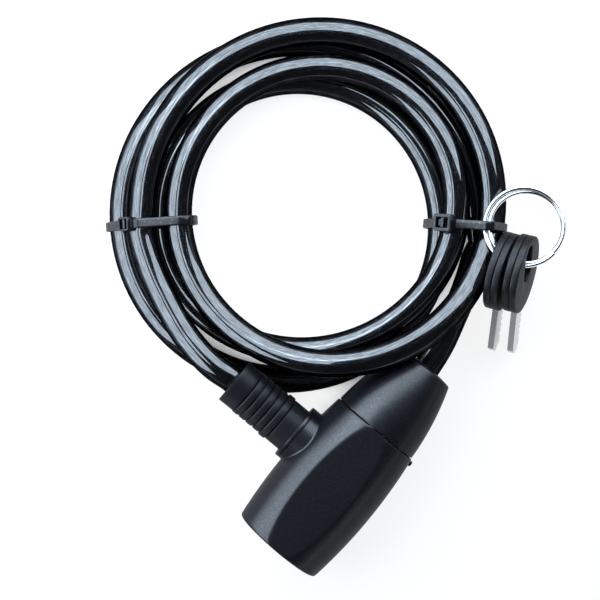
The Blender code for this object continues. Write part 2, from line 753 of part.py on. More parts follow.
def coil_point(turn):
    """The cable's middle line at a turn angle in degrees: two spirals, one above the other."""
    lower = ease(turn, UPPER_END, LOWER_START)
    wound_in = UPPER_RADIUS - LOOP_STEP * (min(turn, UPPER_END) - COIL_START) / 360
    wound_out = LOWER_RADIUS + LOWER_STEP * (max(turn, LOWER_START) - LOWER_START) / 360
    share = min(1.0, max(0.0, (turn - UPPER_END) / (LOWER_START - UPPER_END)))
    radius = wound_in * (1 - lower) + wound_out * lower + SWING_OUT * math.sin(math.pi * share) ** 2
    angle = COIL_ZERO - math.radians(turn)
    x = UPPER_CENTRE[0] * (1 - lower) + LOWER_CENTRE[0] * lower + radius * math.cos(angle)
    y = UPPER_CENTRE[1] * (1 - lower) + LOWER_CENTRE[1] * lower + radius * math.sin(angle)
    past = turn - HUMP_AT
    reach = HUMP_AFTER if past > 0 else HUMP_BEFORE
    hump = HUMP * math.cos(math.pi / 2 * min(1.0, abs(past) / reach)) ** 2
    on_strap = (STRAP_THICK + CLEAR) * math.sin(math.radians(turn)) ** 2
    dropped = ease(turn, DROP_START, DROP_END)
    z = (UPPER_Z + hump) * (1 - dropped) + (LOWER_Z + on_strap) * dropped
    return Vector((x, y, z))


def coil_path(a_turn):
    """The coil's points, with a straight end on each side."""
    count = round((COIL_END - COIL_START) / 360 * a_turn) + 1
    winding = [coil_point(turn) for turn in steps_between(COIL_START, COIL_END, count)]
    step = 0.01
    first = (coil_point(COIL_START) - coil_point(COIL_START + step)).normalized()
    last = (coil_point(COIL_END) - coil_point(COIL_END - step)).normalized()
    first.z = 0
    last.z = 0
    return [winding[0] + first * STRAIGHT_END] + winding + [winding[-1] + last * STRAIGHT_END]


def least_gap(points, radius):
    """The least gap between stretches of a tube that lie more than three diameters apart along it."""
    along = [0.0]
    for a, b in zip(points, points[1:]):
        along.append(along[-1] + (b - a).length)
    least = math.inf
    for i, a in enumerate(points):
        for j in range(i + 1, len(points)):
            if along[j] - along[i] > 6 * radius:
                least = min(least, (points[j] - a).length)
    return least - 2 * radius


def cable_coil():
    fine = coil_path(8 * COIL_POINTS)
    gap = least_gap(fine, CABLE_RADIUS)
    length = sum((b - a).length for a, b in zip(fine, fine[1:]))
    print(f"coil: {length:.3f} m of cable, least gap to itself {gap / MM:.2f} mm")
    return tube("cable_coil", coil_path(COIL_POINTS), CABLE_RADIUS, 1)


def boot_stretch():
    """The cable from the neck's ferrule, through the boot and up to the coil."""
    inside = [boot_arc(out) for out in steps_between(NECK_SEAT + 2 * CLEAR, BOOT_END + 2 * MM, 7)]
    points = [Vector((-reach, NECK_Y, FACET + rise)) for reach, rise, slope in inside]
    coil = coil_path(COIL_POINTS)
    back = (coil[0] - coil[1]).normalized()
    meet = coil[0] + back * CLEAR
    route = points[-2:] + [Vector(p) * MM for p in BOOT_ROUTE] + [meet + back * FACE_STRAIGHT, meet]
    return tube("cable_to_boot", points[:-1] + smooth_curve(route, ROUTE_STEP) + [meet], CABLE_RADIUS, 2)


def cap_stretch():
    """The cable from the coil's lower end, under the loop over the cap, and into the cap."""
    coil = coil_path(COIL_POINTS)
    onward = (coil[-1] - coil[-2]).normalized()
    meet = coil[-1] + onward * CLEAR
    start = Vector((0, CARRIER_END + CLEAR, FACET))
    route = [meet, meet + onward * FACE_STRAIGHT] + [Vector(p) * MM for p in CAP_ROUTE]
    route += [Vector((0, CAP_END, FACET)), start]
    return tube("cable_to_cap", [meet] + smooth_curve(route, ROUTE_STEP) + [start], CABLE_RADIUS, 2)


# Ties


def tie_frame(direction):
    """A tie's plane: X out of the coil's middle, Y up."""
    angle = COIL_ZERO - math.radians(direction)
    middle = [(a + b) / 2 for a, b in zip(UPPER_CENTRE, LOWER_CENTRE)]
    out = Vector((math.cos(angle), math.sin(angle), 0))
    return frame_of((*middle, 0), out, (0, 0, 1))


def crossings(points, place):
    """Where a line of points crosses a tie's plane on its own side: (distance out, height)."""
    local = [place.inverted() @ p for p in points]
    found = []
    for a, b in zip(local, local[1:]):
        if (a.z < 0) != (b.z < 0) and a.x > 0:
            at = a.lerp(b, a.z / (a.z - b.z))
            found.append((at.x, at.y))
    return found


def half_hull(points):
    """One side of the convex outline round sorted points."""
    kept = []
    for x, y in points:
        while len(kept) > 1:
            (ax, ay), (bx, by) = kept[-2:]
            if (bx - ax) * (y - ay) - (by - ay) * (x - ax) > 0:
                break
            kept.pop()
        kept.append((x, y))
    return kept[:-1]


def strap_outline(circles, grow, count=32):
    """The outline of a strap pulled round circles of (x, y, radius), at a distance from them."""
    points = []
    for x, y, radius in circles:
        for i in range(count):
            angle = 2 * math.pi * i / count
            points.append((x + (radius + grow) * math.cos(angle), y + (radius + grow) * math.sin(angle)))
    points.sort()
    return half_hull(points) + half_hull(points[::-1])


def tie(name, direction, head_size, head_lean, extra, helpers):
    place = tie_frame(direction)
    circles = [(x, y, CABLE_RADIUS) for x, y in crossings(coil_path(COIL_POINTS), place)] + extra
    inner = strap_outline(circles, CLEAR)
    outer = strap_outline(circles, CLEAR + STRAP_THICK)
    strap = outline(name, [outer, inner], STRAP_WIDTH, place)
    lean = math.radians(head_lean)
    normal = Vector((math.cos(lean), math.sin(lean)))
    held = max(circles, key=lambda c: c[0] * normal.x + c[1] * normal.y + c[2])
    foot = held[2] + CLEAR + 0.2 * MM
    seat = place @ Vector((held[0] + foot * normal.x, held[1] + foot * normal.y, 0))
    up = place.to_3x3() @ Vector((normal.x, normal.y, 0))
    across = place.to_3x3() @ Vector((0, 0, 1))
    head_place = frame_of(seat, across.cross(up), across)
    length, width, height = head_size
    low = (-length / 2, -width / 2, 0)
    head = box(name + "_head", low, (length / 2, width / 2, height), head_place, bevel=0.5 * MM)
    join(strap, helpers, head)
    slot = (STRAP_THICK / 2 + 0.4 * MM, STRAP_WIDTH / 2 + 0.2 * MM)
    pocket = box(
        name + "_slot", (-slot[0], -slot[1], height - 1.2 * MM), (slot[0], slot[1], height + 1 * MM), head_place
    )
    cut(strap, helpers, pocket)
    end = box(
        name + "_cut_end",
        (-STRAP_THICK / 2, -STRAP_WIDTH / 2, height - 2 * MM),
        (STRAP_THICK / 2, STRAP_WIDTH / 2, height - 0.3 * MM),
        head_place,
    )
    join(strap, helpers, end)
    return strap


# Key ring and keys


def ring_hinge():
    """Where the ring's two wires pass under the right tie, in that tie's plane."""
    strands = crossings(coil_path(COIL_POINTS), tie_frame(TIE_DIRECTIONS[1]))
    return max(strands)[0] - RING_SET_IN, RING_LIFT


def ring_frame():
    """The ring's middle, with X away from the tie and Z along the ring's axis."""
    out, lift = ring_hinge()
    hinge = tie_frame(TIE_DIRECTIONS[1]) @ Vector((out, lift, 0))
    away = Vector((math.cos(RING_AWAY), math.sin(RING_AWAY), 0))
    down = Vector((math.sin(RING_AWAY), -math.cos(RING_AWAY), 0))
    along = down * math.cos(RING_TILT) + Vector((0, 0, 1)) * math.sin(RING_TILT)
    return frame_of(hinge + away * (RING_RADIUS - RING_PITCH / 2), away, -along)


def ring_point(turn):
    """The ring's wire after some turns: side by side under the tie, above each other on the far side."""
    under_tie = (180 - RING_START) / 360
    angle = 2 * math.pi * turn + math.radians(RING_START)
    lying = math.pi / 2 * (1 - math.cos(angle)) / 2
    radius = RING_RADIUS - RING_PITCH * math.sin(lying) * (turn - under_tie)
    height = RING_PITCH * math.cos(lying) * (turn - RING_TURNS / 2)
    return Vector((radius * math.cos(angle), radius * math.sin(angle), height))


def split_ring():
    points = [ring_point(i / RING_POINTS) for i in range(RING_TURNS * RING_POINTS + 1)]
    return tube("split_ring", points, RING_WIRE, 1, ring_frame())


def key_frame(number):
    """A key's place: its origin between the ring's wires, X towards the blade's tip, Y up across the head."""
    turn = (360 - KEY_RING_ANGLES[number] - RING_START) / 360
    hinge = ring_frame() @ ((ring_point(turn) + ring_point(turn + 1)) / 2)
    strike = RING_AWAY - math.radians(90) - math.radians(KEY_STRIKES[number])
    level = Vector((math.cos(strike), math.sin(strike), 0))
    left = Vector((level.y, -level.x, 0))
    rising = left * math.sin(KEY_LEAN) + Vector((0, 0, 1)) * math.cos(KEY_LEAN)
    blade = level * math.cos(KEY_SLOPE) - rising * math.sin(KEY_SLOPE)
    across = level * math.sin(KEY_SLOPE) + rising * math.cos(KEY_SLOPE)
    return frame_of(hinge, blade, across)


def key_head_centre(number):
    """The head's middle, in the key's own axes."""
    return Vector((KEY_HOLE_OFFSET + KEY_SLIDES[number], 0, 0))


def key_head(number, helpers):
    name = f"key_{number + 1}_head"
    place = key_frame(number) @ Matrix.Translation(key_head_centre(number))
    half = KEY_HEAD_THICK / 2
    profile = [
        (0, half),
        (KEY_HEAD_RADIUS - 2 * KEY_RIM, half),
        (KEY_HEAD_RADIUS - KEY_RIM / 4, half - KEY_RIM),
        (KEY_HEAD_RADIUS, KEY_PARTING),
        (KEY_HEAD_RADIUS - KEY_PARTING, 0),
        (KEY_HEAD_RADIUS, -KEY_PARTING),
        (KEY_HEAD_RADIUS - KEY_RIM / 4, KEY_RIM - half),
        (KEY_HEAD_RADIUS - 2 * KEY_RIM, -half),
        (0, -half),
    ]
    head = turned(name, profile, 32, place)
    reach = KEY_HOLE_LENGTH / 2 - KEY_HOLE_WIDTH / 2
    rounds = []
    for side in (-1, 1):
        for angle in steps_between(-90, 90, 7):
            turn = math.radians(angle)
            x = side * (reach + KEY_HOLE_WIDTH / 2 * math.cos(turn))
            rounds.append((x - KEY_HOLE_OFFSET, side * KEY_HOLE_WIDTH / 2 * math.sin(turn)))
    cut(head, helpers, outline(name + "_hole", [rounds], 3 * KEY_HEAD_THICK, place))
    socket = CLEAR + KEY_BLADE_THICK / 2
    side = KEY_BLADE_WIDTH / 2 + CLEAR
    start = blade_start() - CLEAR
    cut(head, helpers, box(name + "_socket", (start, -side, -socket), (2 * KEY_HEAD_RADIUS, side, socket), place))
    return head


def blade_start():
    """How deep the blade sits in the head, from the head's middle."""
    return KEY_HEAD_RADIUS / 2


def key_blade(number, helpers):
    """A flat blade with a cut lower edge and a pointed tip, moulded into the head."""
    name = f"key_{number + 1}_blade"
    place = key_frame(number) @ Matrix.Translation(key_head_centre(number))
    tip = KEY_HEAD_RADIUS + KEY_BLADE_LENGTH
    half = KEY_BLADE_WIDTH / 2
    edge = [(blade_start(), half), (tip - KEY_POINT, half), (tip, KEY_NOSE), (tip, -KEY_NOSE)]
    edge.append((tip - KEY_POINT, -half))
    first_cut = KEY_HEAD_RADIUS + KEY_FIRST_CUT
    for i in reversed(range(WAFER_COUNT)):
        root = KEY_CUT_LEAST + KEY_CUT_STEP * ((i * 2 + number) % 3) - half
        at = first_cut + i * WAFER_PITCH
        edge += [(at + KEY_CUT_TOP, -half), (at + KEY_CUT_FLAT, root)]
        edge += [(at - KEY_CUT_FLAT, root), (at - KEY_CUT_TOP, -half)]
    edge.append((blade_start(), -half))
    blade = outline(name, [edge], KEY_BLADE_THICK, place)
    low = (KEY_HEAD_RADIUS + CLEAR, -KEY_MILL_WIDTH / 2, KEY_BLADE_THICK / 2 - KEY_MILL_DEPTH)
    high = (tip + KEY_POINT, KEY_MILL_WIDTH / 2, KEY_BLADE_THICK)
    cut(blade, helpers, box(name + "_mill", low, high, place))
    return blade


# The whole lock


def empty(name, place, collection, parent=None):
    made = bpy.data.objects.new(name, None)
    made.empty_display_size = 0.01
    collection.objects.link(made)
    made.matrix_world = place
    if parent:
        made.parent = parent
        made.matrix_parent_inverse = parent.matrix_world.inverted()
        made.matrix_world = place
    return made


def looks():
    return {
        "textured_plastic": material("textured_plastic", (0.022, 0.024, 0.03), 0.5, 0.0),
        "boot_rubber": material("boot_rubber", (0.016, 0.016, 0.019), 0.7, 0.0),
        "cable_sleeve": material("cable_sleeve", (0.02, 0.021, 0.026), 0.12, 0.0),
        "tie_plastic": material("tie_plastic", (0.02, 0.02, 0.024), 0.35, 0.0),
        "cast_zinc": material("cast_zinc", (0.45, 0.45, 0.46), 0.45, 1.0),
        "steel": material("steel", (0.6, 0.6, 0.61), 0.3, 1.0),
        "brass": material("brass", (0.72, 0.55, 0.26), 0.32, 1.0),
        "chrome": material("chrome", (0.8, 0.8, 0.82), 0.08, 1.0),
    }


def build():
    clear_scene()
    parts = new_collection("cable_lock")
    helpers = new_collection("cutters")
    helpers.hide_render = True
    look = looks()

    def add(obj, slot, parent=None):
        return finish(obj, parts, look[slot], parent)

    add(housing_shell(helpers), "textured_plastic")
    add(lock_core(helpers), "cast_zinc")
    add(boot(), "boot_rubber")
    start = neck_ferrule_start()
    add(ferrule("neck_ferrule", start, along_neck(), neck_pin_place(), helpers), "steel")
    add(rope_end("neck_rope_end", start, along_neck()), "steel")
    pin_edge = neck_pin_place().translation.x - PIN_RADIUS
    pin_reach = math.sqrt((BARREL_BORE - CLEAR) ** 2 - pin_edge**2)
    add(pin("neck_pin", pin_reach - CLEAR, neck_pin_place()), "steel")
    add(boot_stretch(), "cable_sleeve")

    plug = add(cylinder_plug(helpers), "brass")
    add(plug_clip(helpers), "steel", plug)
    for number, y in enumerate(wafer_places(), 1):
        add(wafer(number, y), "brass", plug)
    add(latch(helpers), "steel")
    add(latch_spring(), "steel")

    cable_side = empty("cable_side", Matrix.Translation((0, 0, FACET)), parts)
    add(cap_shell(), "textured_plastic", cable_side)
    add(bolt_carrier(helpers), "cast_zinc", cable_side)
    add(locking_bolt(helpers), "steel", cable_side)
    bolt_pin_reach = carrier_radius(bolt_pin_place().translation.y) - PIN_INSET
    add(pin("bolt_pin", bolt_pin_reach, bolt_pin_place()), "steel", cable_side)
    start = cap_pin_place().translation.y - FERRULE_SOLID / 2
    add(ferrule("cap_ferrule", start, along_y(), cap_pin_place(), helpers), "steel", cable_side)
    add(rope_end("cap_rope_end", start, along_y()), "steel", cable_side)
    cap_pin_reach = carrier_radius(cap_pin_place().translation.y) - PIN_INSET
    add(pin("cap_pin", cap_pin_reach, cap_pin_place()), "steel", cable_side)
    add(cable_coil(), "cable_sleeve", cable_side)
    add(cap_stretch(), "cable_sleeve", cable_side)

    out, lift = ring_hinge()
    wires = (out, lift, RING_PITCH / 2 + RING_WIRE + CLEAR)
    extras = ([], [wires])
    names = ("tie_left", "tie_right")
    for name, *sizes in zip(names, TIE_DIRECTIONS, TIE_HEADS, TIE_HEAD_LEANS, extras):
        add(tie(name, *sizes, helpers), "tie_plastic", cable_side)

    ring_place = ring_frame() @ Matrix.Translation((RING_PITCH / 2 - RING_RADIUS, 0, 0))
    ring_swing = empty("ring_swing", ring_place, parts, cable_side)
    add(split_ring(), "chrome", ring_swing)
    for number in range(2):
        key_swing = empty(f"key_{number + 1}_swing", key_frame(number), parts, ring_swing)
        add(key_head(number, helpers), "textured_plastic", key_swing)
        add(key_blade(number, helpers), "steel", key_swing)
    for name, place in [("ring", ring_place)] + [(f"key {number + 1}", key_frame(number)) for number in range(2)]:
        axis = place.col[1] if name == "ring" else place.col[2]
        print(name, "hinge at", [round(v, 5) for v in place.translation], "axis", [round(v, 4) for v in axis[:3]])


build()
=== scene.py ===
# %% [markdown]
# # A coiled cable lock with two keys
# A steel rope in a clear sleeve is wound into about three and a half loops and held by two ties. Its ends
# go into a moulded barrel, which holds the keyed cylinder, and into the cap that plugs into that barrel.
# The solid model fixes every size. This lesson dresses it: finer skins, real finishes, light and camera.

# %% Start from the solid model
import json
import math

import bmesh
import bpy
from mathutils import Matrix, Vector


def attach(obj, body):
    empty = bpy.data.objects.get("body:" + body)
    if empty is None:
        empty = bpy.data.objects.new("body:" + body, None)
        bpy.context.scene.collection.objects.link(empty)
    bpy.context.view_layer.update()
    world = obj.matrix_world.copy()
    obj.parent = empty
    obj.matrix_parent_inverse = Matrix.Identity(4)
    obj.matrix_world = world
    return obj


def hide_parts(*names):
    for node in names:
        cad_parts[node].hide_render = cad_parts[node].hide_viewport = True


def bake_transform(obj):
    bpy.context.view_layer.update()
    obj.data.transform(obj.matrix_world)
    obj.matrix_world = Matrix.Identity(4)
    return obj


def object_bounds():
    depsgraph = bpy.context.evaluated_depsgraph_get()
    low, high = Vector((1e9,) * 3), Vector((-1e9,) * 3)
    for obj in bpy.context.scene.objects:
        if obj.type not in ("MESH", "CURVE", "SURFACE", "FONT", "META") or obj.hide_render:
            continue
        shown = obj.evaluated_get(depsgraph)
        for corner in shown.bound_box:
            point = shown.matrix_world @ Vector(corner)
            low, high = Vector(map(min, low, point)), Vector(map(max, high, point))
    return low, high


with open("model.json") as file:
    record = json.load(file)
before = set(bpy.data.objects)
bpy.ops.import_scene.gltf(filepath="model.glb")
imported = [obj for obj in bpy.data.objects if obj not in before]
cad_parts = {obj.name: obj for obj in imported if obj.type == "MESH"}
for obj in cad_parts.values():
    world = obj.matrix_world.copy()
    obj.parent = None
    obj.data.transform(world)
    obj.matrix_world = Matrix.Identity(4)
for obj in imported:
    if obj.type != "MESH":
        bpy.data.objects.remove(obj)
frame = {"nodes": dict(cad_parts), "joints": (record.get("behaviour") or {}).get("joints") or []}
cad_low, cad_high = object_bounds()
nodes = frame["nodes"]
joints = {joint["name"]: joint for joint in frame["joints"]}
MM = 0.001
CLEAR = 0.3 * MM
model_size = [round(side / MM, 1) for side in cad_high - cad_low]
print(len(nodes), "solids,", len(joints), "joints, model", model_size, "mm")

# %% [markdown]
# ## The camera
# The lock was photographed from straight above. A long lens keeps the loops round, so the camera hangs
# well above the table and is turned until the barrel points to the upper right of the picture.

# %% Camera
PICTURE_TURN = math.radians(40)
PICTURE_MIDDLE = Vector((-0.0511, 0.0467, 0))
CAMERA_HEIGHT = 0.6169
SENSOR_WIDTH = 36
LENS_LENGTH = 98.9
picture_right = Vector((math.cos(PICTURE_TURN), math.sin(PICTURE_TURN), 0))
picture_up = Vector((-math.sin(PICTURE_TURN), math.cos(PICTURE_TURN), 0))

camera_data = bpy.data.cameras.new("camera")
camera_data.sensor_width = SENSOR_WIDTH
camera_data.lens = LENS_LENGTH
camera_data.clip_start = 0.01
camera = bpy.data.objects.new("camera", camera_data)
camera.location = PICTURE_MIDDLE + Vector((0, 0, CAMERA_HEIGHT))
camera.rotation_euler = (0, 0, PICTURE_TURN)
bpy.context.scene.collection.objects.link(camera)
bpy.context.scene.camera = camera
print("camera", round(CAMERA_HEIGHT, 3), "m above the table")

# %% [markdown]
# ## The light
# Black glossy things are lit by what they mirror. A wall of light on the left of the picture draws the long
# pale band along each loop, and a narrow pane high above it the fine line beside that band. A wall at the
# top draws the band on the upper loops, and a weak one at the bottom keeps the barrel's far edge from
# vanishing. Straight overhead stays dark, and so does the flat facet. The walls stand close, as in a small
# light tent, so the bands narrow and widen round the coil, and the camera doesn't see them.

# %% Lamps
COOL = (0.72, 0.86, 1.0)
BRIGHT = 4.2
WEAK = 1.2


def wall_lamp(name, side, along, near, far, reach, strength):
    """A leaning wall of light. Near and far are its upper and lower edges as (distance out to its side,
    height), and reach is where it starts and ends along the picture's other direction."""
    data = bpy.data.lights.new(name, "AREA")
    data.shape = "RECTANGLE"
    slope = Vector(far) - Vector(near)
    data.size = reach[1] - reach[0]
    data.size_y = slope.length
    data.energy = strength * data.size * data.size_y * math.pi
    data.color = COOL
    out, height = (Vector(near) + Vector(far)) / 2
    middle = PICTURE_MIDDLE + side * out + along * sum(reach) / 2 + Vector((0, 0, height))
    upright = -(side * slope.x + Vector((0, 0, slope.y))).normalized()
    facing_away = along.cross(upright)
    if facing_away.dot(side) < 0:
        along, facing_away = -along, -facing_away
    made = bpy.data.objects.new(name, data)
    turned = Matrix((along, upright, facing_away)).transposed().to_4x4()
    made.matrix_world = Matrix.Translation(middle) @ turned
    made.visible_camera = False
    bpy.context.scene.collection.objects.link(made)


wall_lamp("window_left", -picture_right, picture_up, (0.125, 0.21), (0.23, 0.0), (-0.16, 0.16), BRIGHT)
wall_lamp("window_top", picture_up, picture_right, (0.10, 0.29), (0.20, 0.06), (-0.17, 0.32), BRIGHT)
wall_lamp("window_low_right", -picture_up, picture_right, (0.26, 0.06), (0.27, 0.0), (0.02, 0.30), WEAK)
wall_lamp("window_left_pane", -picture_right, picture_up, (0.058, 0.262), (0.104, 0.238), (-0.02, 0.16),
          BRIGHT)

# %% [markdown]
# ## Floor and world
# The background is pure white. The floor gets that from its own glow for what the camera, mirrors and glass
# see, while its diffuse share still takes the lock's soft shadow. Where little sky reaches the floor, as deep
# between two loops, the glow fades: a painted shade. The world is pale at the horizon and dark overhead.

# %% Floor and world
FLOOR_GLOW = 0.86
FLOOR_HALF = 6.0
GAP_REACH = 12 * MM
GAP_DARK, GAP_OPEN = 0.12, 0.42
HORIZON = (0.92, 0.93, 0.95, 1)
OVERHEAD = (0.035, 0.038, 0.045, 1)


def add_nodes(tree, *kinds, family="ShaderNode"):
    return [tree.nodes.new(family + kind) for kind in kinds]


def wire(tree, *links):
    """Links nodes, each link given as (node, its output, next node, its input)."""
    for source, output, target, entry in links:
        tree.links.new(source.outputs[output], target.inputs[entry])


def sees_background(tree):
    """1 for camera, glossy and transmission rays, 0 for the others."""
    path, first, second = add_nodes(tree, "LightPath", "Math", "Math")
    for node, a, b in ((first, path.outputs["Is Camera Ray"], path.outputs["Is Glossy Ray"]),
                       (second, first.outputs[0], path.outputs["Is Transmission Ray"])):
        node.operation = "MAXIMUM"
        tree.links.new(a, node.inputs[0])
        tree.links.new(b, node.inputs[1])
    return second.outputs[0]


floor_look = bpy.data.materials.new("floor_paper")
floor_look.use_nodes = True
tree = floor_look.node_tree
paper = tree.nodes["Principled BSDF"]
paper.inputs["Base Color"].default_value = (0.20, 0.20, 0.205, 1)
paper.inputs["Roughness"].default_value = 0.9
paper.inputs["Specular IOR Level"].default_value = 0.1
paper.inputs["Emission Color"].default_value = (1, 1, 1, 1)
# The glow is dimmed by ambient occlusion: a painted shade that darkens the floor between the loops.
glow, shaded, nearby, openness = add_nodes(tree, "Math", "Math", "AmbientOcclusion", "MapRange")
glow.operation = shaded.operation = "MULTIPLY"
glow.inputs[1].default_value = FLOOR_GLOW
nearby.samples = 8
nearby.inputs["Distance"].default_value = GAP_REACH
openness.inputs["From Min"].default_value = GAP_DARK
openness.inputs["From Max"].default_value = GAP_OPEN
tree.links.new(sees_background(tree), glow.inputs[0])
wire(tree, (nearby, "AO", openness, "Value"), (glow, 0, shaded, 0), (openness, "Result", shaded, 1),
     (shaded, 0, paper, "Emission Strength"))

floor_mesh = bpy.data.meshes.new("floor")
corners = [(x * FLOOR_HALF, y * FLOOR_HALF, 0) for x, y in ((-1, -1), (1, -1), (1, 1), (-1, 1))]
floor_mesh.from_pydata(corners, [], [(0, 1, 2, 3)])
floor_mesh.materials.append(floor_look)
floor = bpy.data.objects.new("floor", floor_mesh)
bpy.context.scene.collection.objects.link(floor)

world = bpy.data.worlds.new("studio")
bpy.context.scene.world = world
world.use_nodes = True
tree = world.node_tree
backdrop = tree.nodes["Background"]
place, split, ramp = add_nodes(tree, "TexCoord", "SeparateXYZ", "ValToRGB")
wire(tree, (place, "Generated", split, 0), (split, "Z", ramp, "Fac"), (ramp, "Color", backdrop, "Color"))
for stop, position, colour in zip(ramp.color_ramp.elements, (0.04, 0.22), (HORIZON, OVERHEAD)):
    stop.position = position
    stop.color = colour
bpy.context.scene.view_settings.view_transform = "Standard"
print("floor", 2 * FLOOR_HALF, "m wide")

# %% [markdown]
# ## Helpers for skins
# Most pieces here are rows of points closed into rings: a barrel, a cap, a boot, a strap. One helper skins
# such rows with faces, and another turns a finished mesh into a piece with its finish and its carrier.

# %% Skins
DOUBLES = 0.002 * MM


def steps_between(first, last, count):
    """Even steps, with both ends."""
    return [first + (last - first) * i / (count - 1) for i in range(count)]


def whole_turn(count):
    """Even angles all the way round."""
    return [2 * math.pi * i / count for i in range(count)]


def skin(rows, loop=False):
    """A mesh of rings of points. With loop, the last ring joins the first. If not, both ends are closed."""
    shape = bmesh.new()
    rings = [[shape.verts.new(p) for p in row] for row in rows]
    for a, b in zip(rings, rings[1:] + (rings[:1] if loop else [])):
        for i in range(len(a)):
            j = (i + 1) % len(a)
            shape.faces.new((a[i], a[j], b[j], b[i]))
    if not loop:
        shape.faces.new(rings[0])
        shape.faces.new(rings[-1])
    return shape


def settle(shape, name):
    """The mesh of a finished shape: doubles merged, faces turned outwards."""
    bmesh.ops.remove_doubles(shape, verts=shape.verts, dist=DOUBLES)
    bmesh.ops.recalc_face_normals(shape, faces=shape.faces)
    mesh = bpy.data.meshes.new(name)
    shape.to_mesh(mesh)
    shape.free()
    return mesh


def as_piece(name, mesh, look, body, slot, *stands_for, sharp=40, blend=None):
    """A mesh in place as a piece of the lock: smooth, with its finish, on its body. With blend it is only
    baked in place, on no body.
    """
    piece = bpy.data.objects.new(name, mesh)
    bpy.context.scene.collection.objects.link(piece)
    mesh.materials.clear()
    mesh.materials.append(look)
    mesh.shade_smooth()
    mesh.set_sharp_from_angle(angle=math.radians(sharp))
    if blend:
        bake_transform(piece)
    else:
        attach(piece, body)
    if stands_for:
        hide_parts(*stands_for)
    print(f"{name}: {len(mesh.vertices)} points")
    return piece


def frame_of(origin, x_axis, y_axis):
    """A place from its origin and two axes at right angles."""
    x_axis = Vector(x_axis).normalized()
    z_axis = x_axis.cross(Vector(y_axis)).normalized()
    y_axis = z_axis.cross(x_axis)
    return Matrix.Translation(origin) @ Matrix((x_axis, y_axis, z_axis)).transposed().to_4x4()


def merged(*shapes):
    """Several shapes as one."""
    whole = bmesh.new()
    for shape in shapes:
        mesh = bpy.data.meshes.new("share")
        shape.to_mesh(mesh)
        shape.free()
        whole.from_mesh(mesh)
        bpy.data.meshes.remove(mesh)
    return whole


# %% [markdown]
# ## Shared effects
# Two effects are used again and again, so each is a node group. The first is the fine sparkling grain that
# a spark-eroded mould leaves in plastic. The second is the lay of a wound rope: strands that run round the
# rope one way, wires inside each strand that run the other way, and streaks of light and dark along them.
# Both give a height and a mask.

# %% Node groups
BROAD_GRAIN = 130.0
CELL_DEPTH = -0.6
STREAK_TWIST = 2.2
STREAKS_ROUND = 9.0
STREAKS_ALONG = 130.0
STREAK_SCALE = 1.6
STRAND_HEIGHT, WIRE_HEIGHT = 0.8, 0.25
WIRE_SHADE, WIRE_BASE = 0.45, 0.55


def group(name, inputs, outputs):
    """An empty shader node group. Inputs are (name, value), outputs are names."""
    made = bpy.data.node_groups.new(name, "ShaderNodeTree")
    for label, value in inputs:
        kind = "NodeSocketVector" if value is None else "NodeSocketFloat"
        socket = made.interface.new_socket(label, in_out="INPUT", socket_type=kind)
        if value is not None:
            socket.default_value = value
    for label in outputs:
        made.interface.new_socket(label, in_out="OUTPUT", socket_type="NodeSocketFloat")
    return made, made.nodes.new("NodeGroupInput"), made.nodes.new("NodeGroupOutput")


def maths(tree, operation, a, b=None):
    """A Math node on sockets or numbers, and its output."""
    node = tree.nodes.new("ShaderNodeMath")
    node.operation = operation
    for socket, value in zip(node.inputs, (a, b)):
        if isinstance(value, (int, float)):
            socket.default_value = value
        elif value is not None:
            tree.links.new(value, socket)
    return node.outputs[0]


def grain_group():
    inputs = [("Place", None), ("Grains per metre", 2600.0)]
    tree, given, made = group("spark_grain", inputs, ["Height", "Mask"])
    cells, cloud, broad = add_nodes(tree, "TexVoronoi", "TexNoise", "TexNoise")
    cells.feature = "SMOOTH_F1"
    for node in (cells, cloud):
        wire(tree, (given, "Place", node, "Vector"), (given, "Grains per metre", node, "Scale"))
    broad.inputs["Scale"].default_value = BROAD_GRAIN
    cloud.inputs["Detail"].default_value = 3.0
    pits = maths(tree, "MULTIPLY", cells.outputs["Distance"], CELL_DEPTH)
    height = maths(tree, "ADD", pits, cloud.outputs["Fac"])
    tree.links.new(height, made.inputs["Height"])
    wire(tree, (given, "Place", broad, "Vector"), (broad, "Fac", made, "Mask"))
    return tree


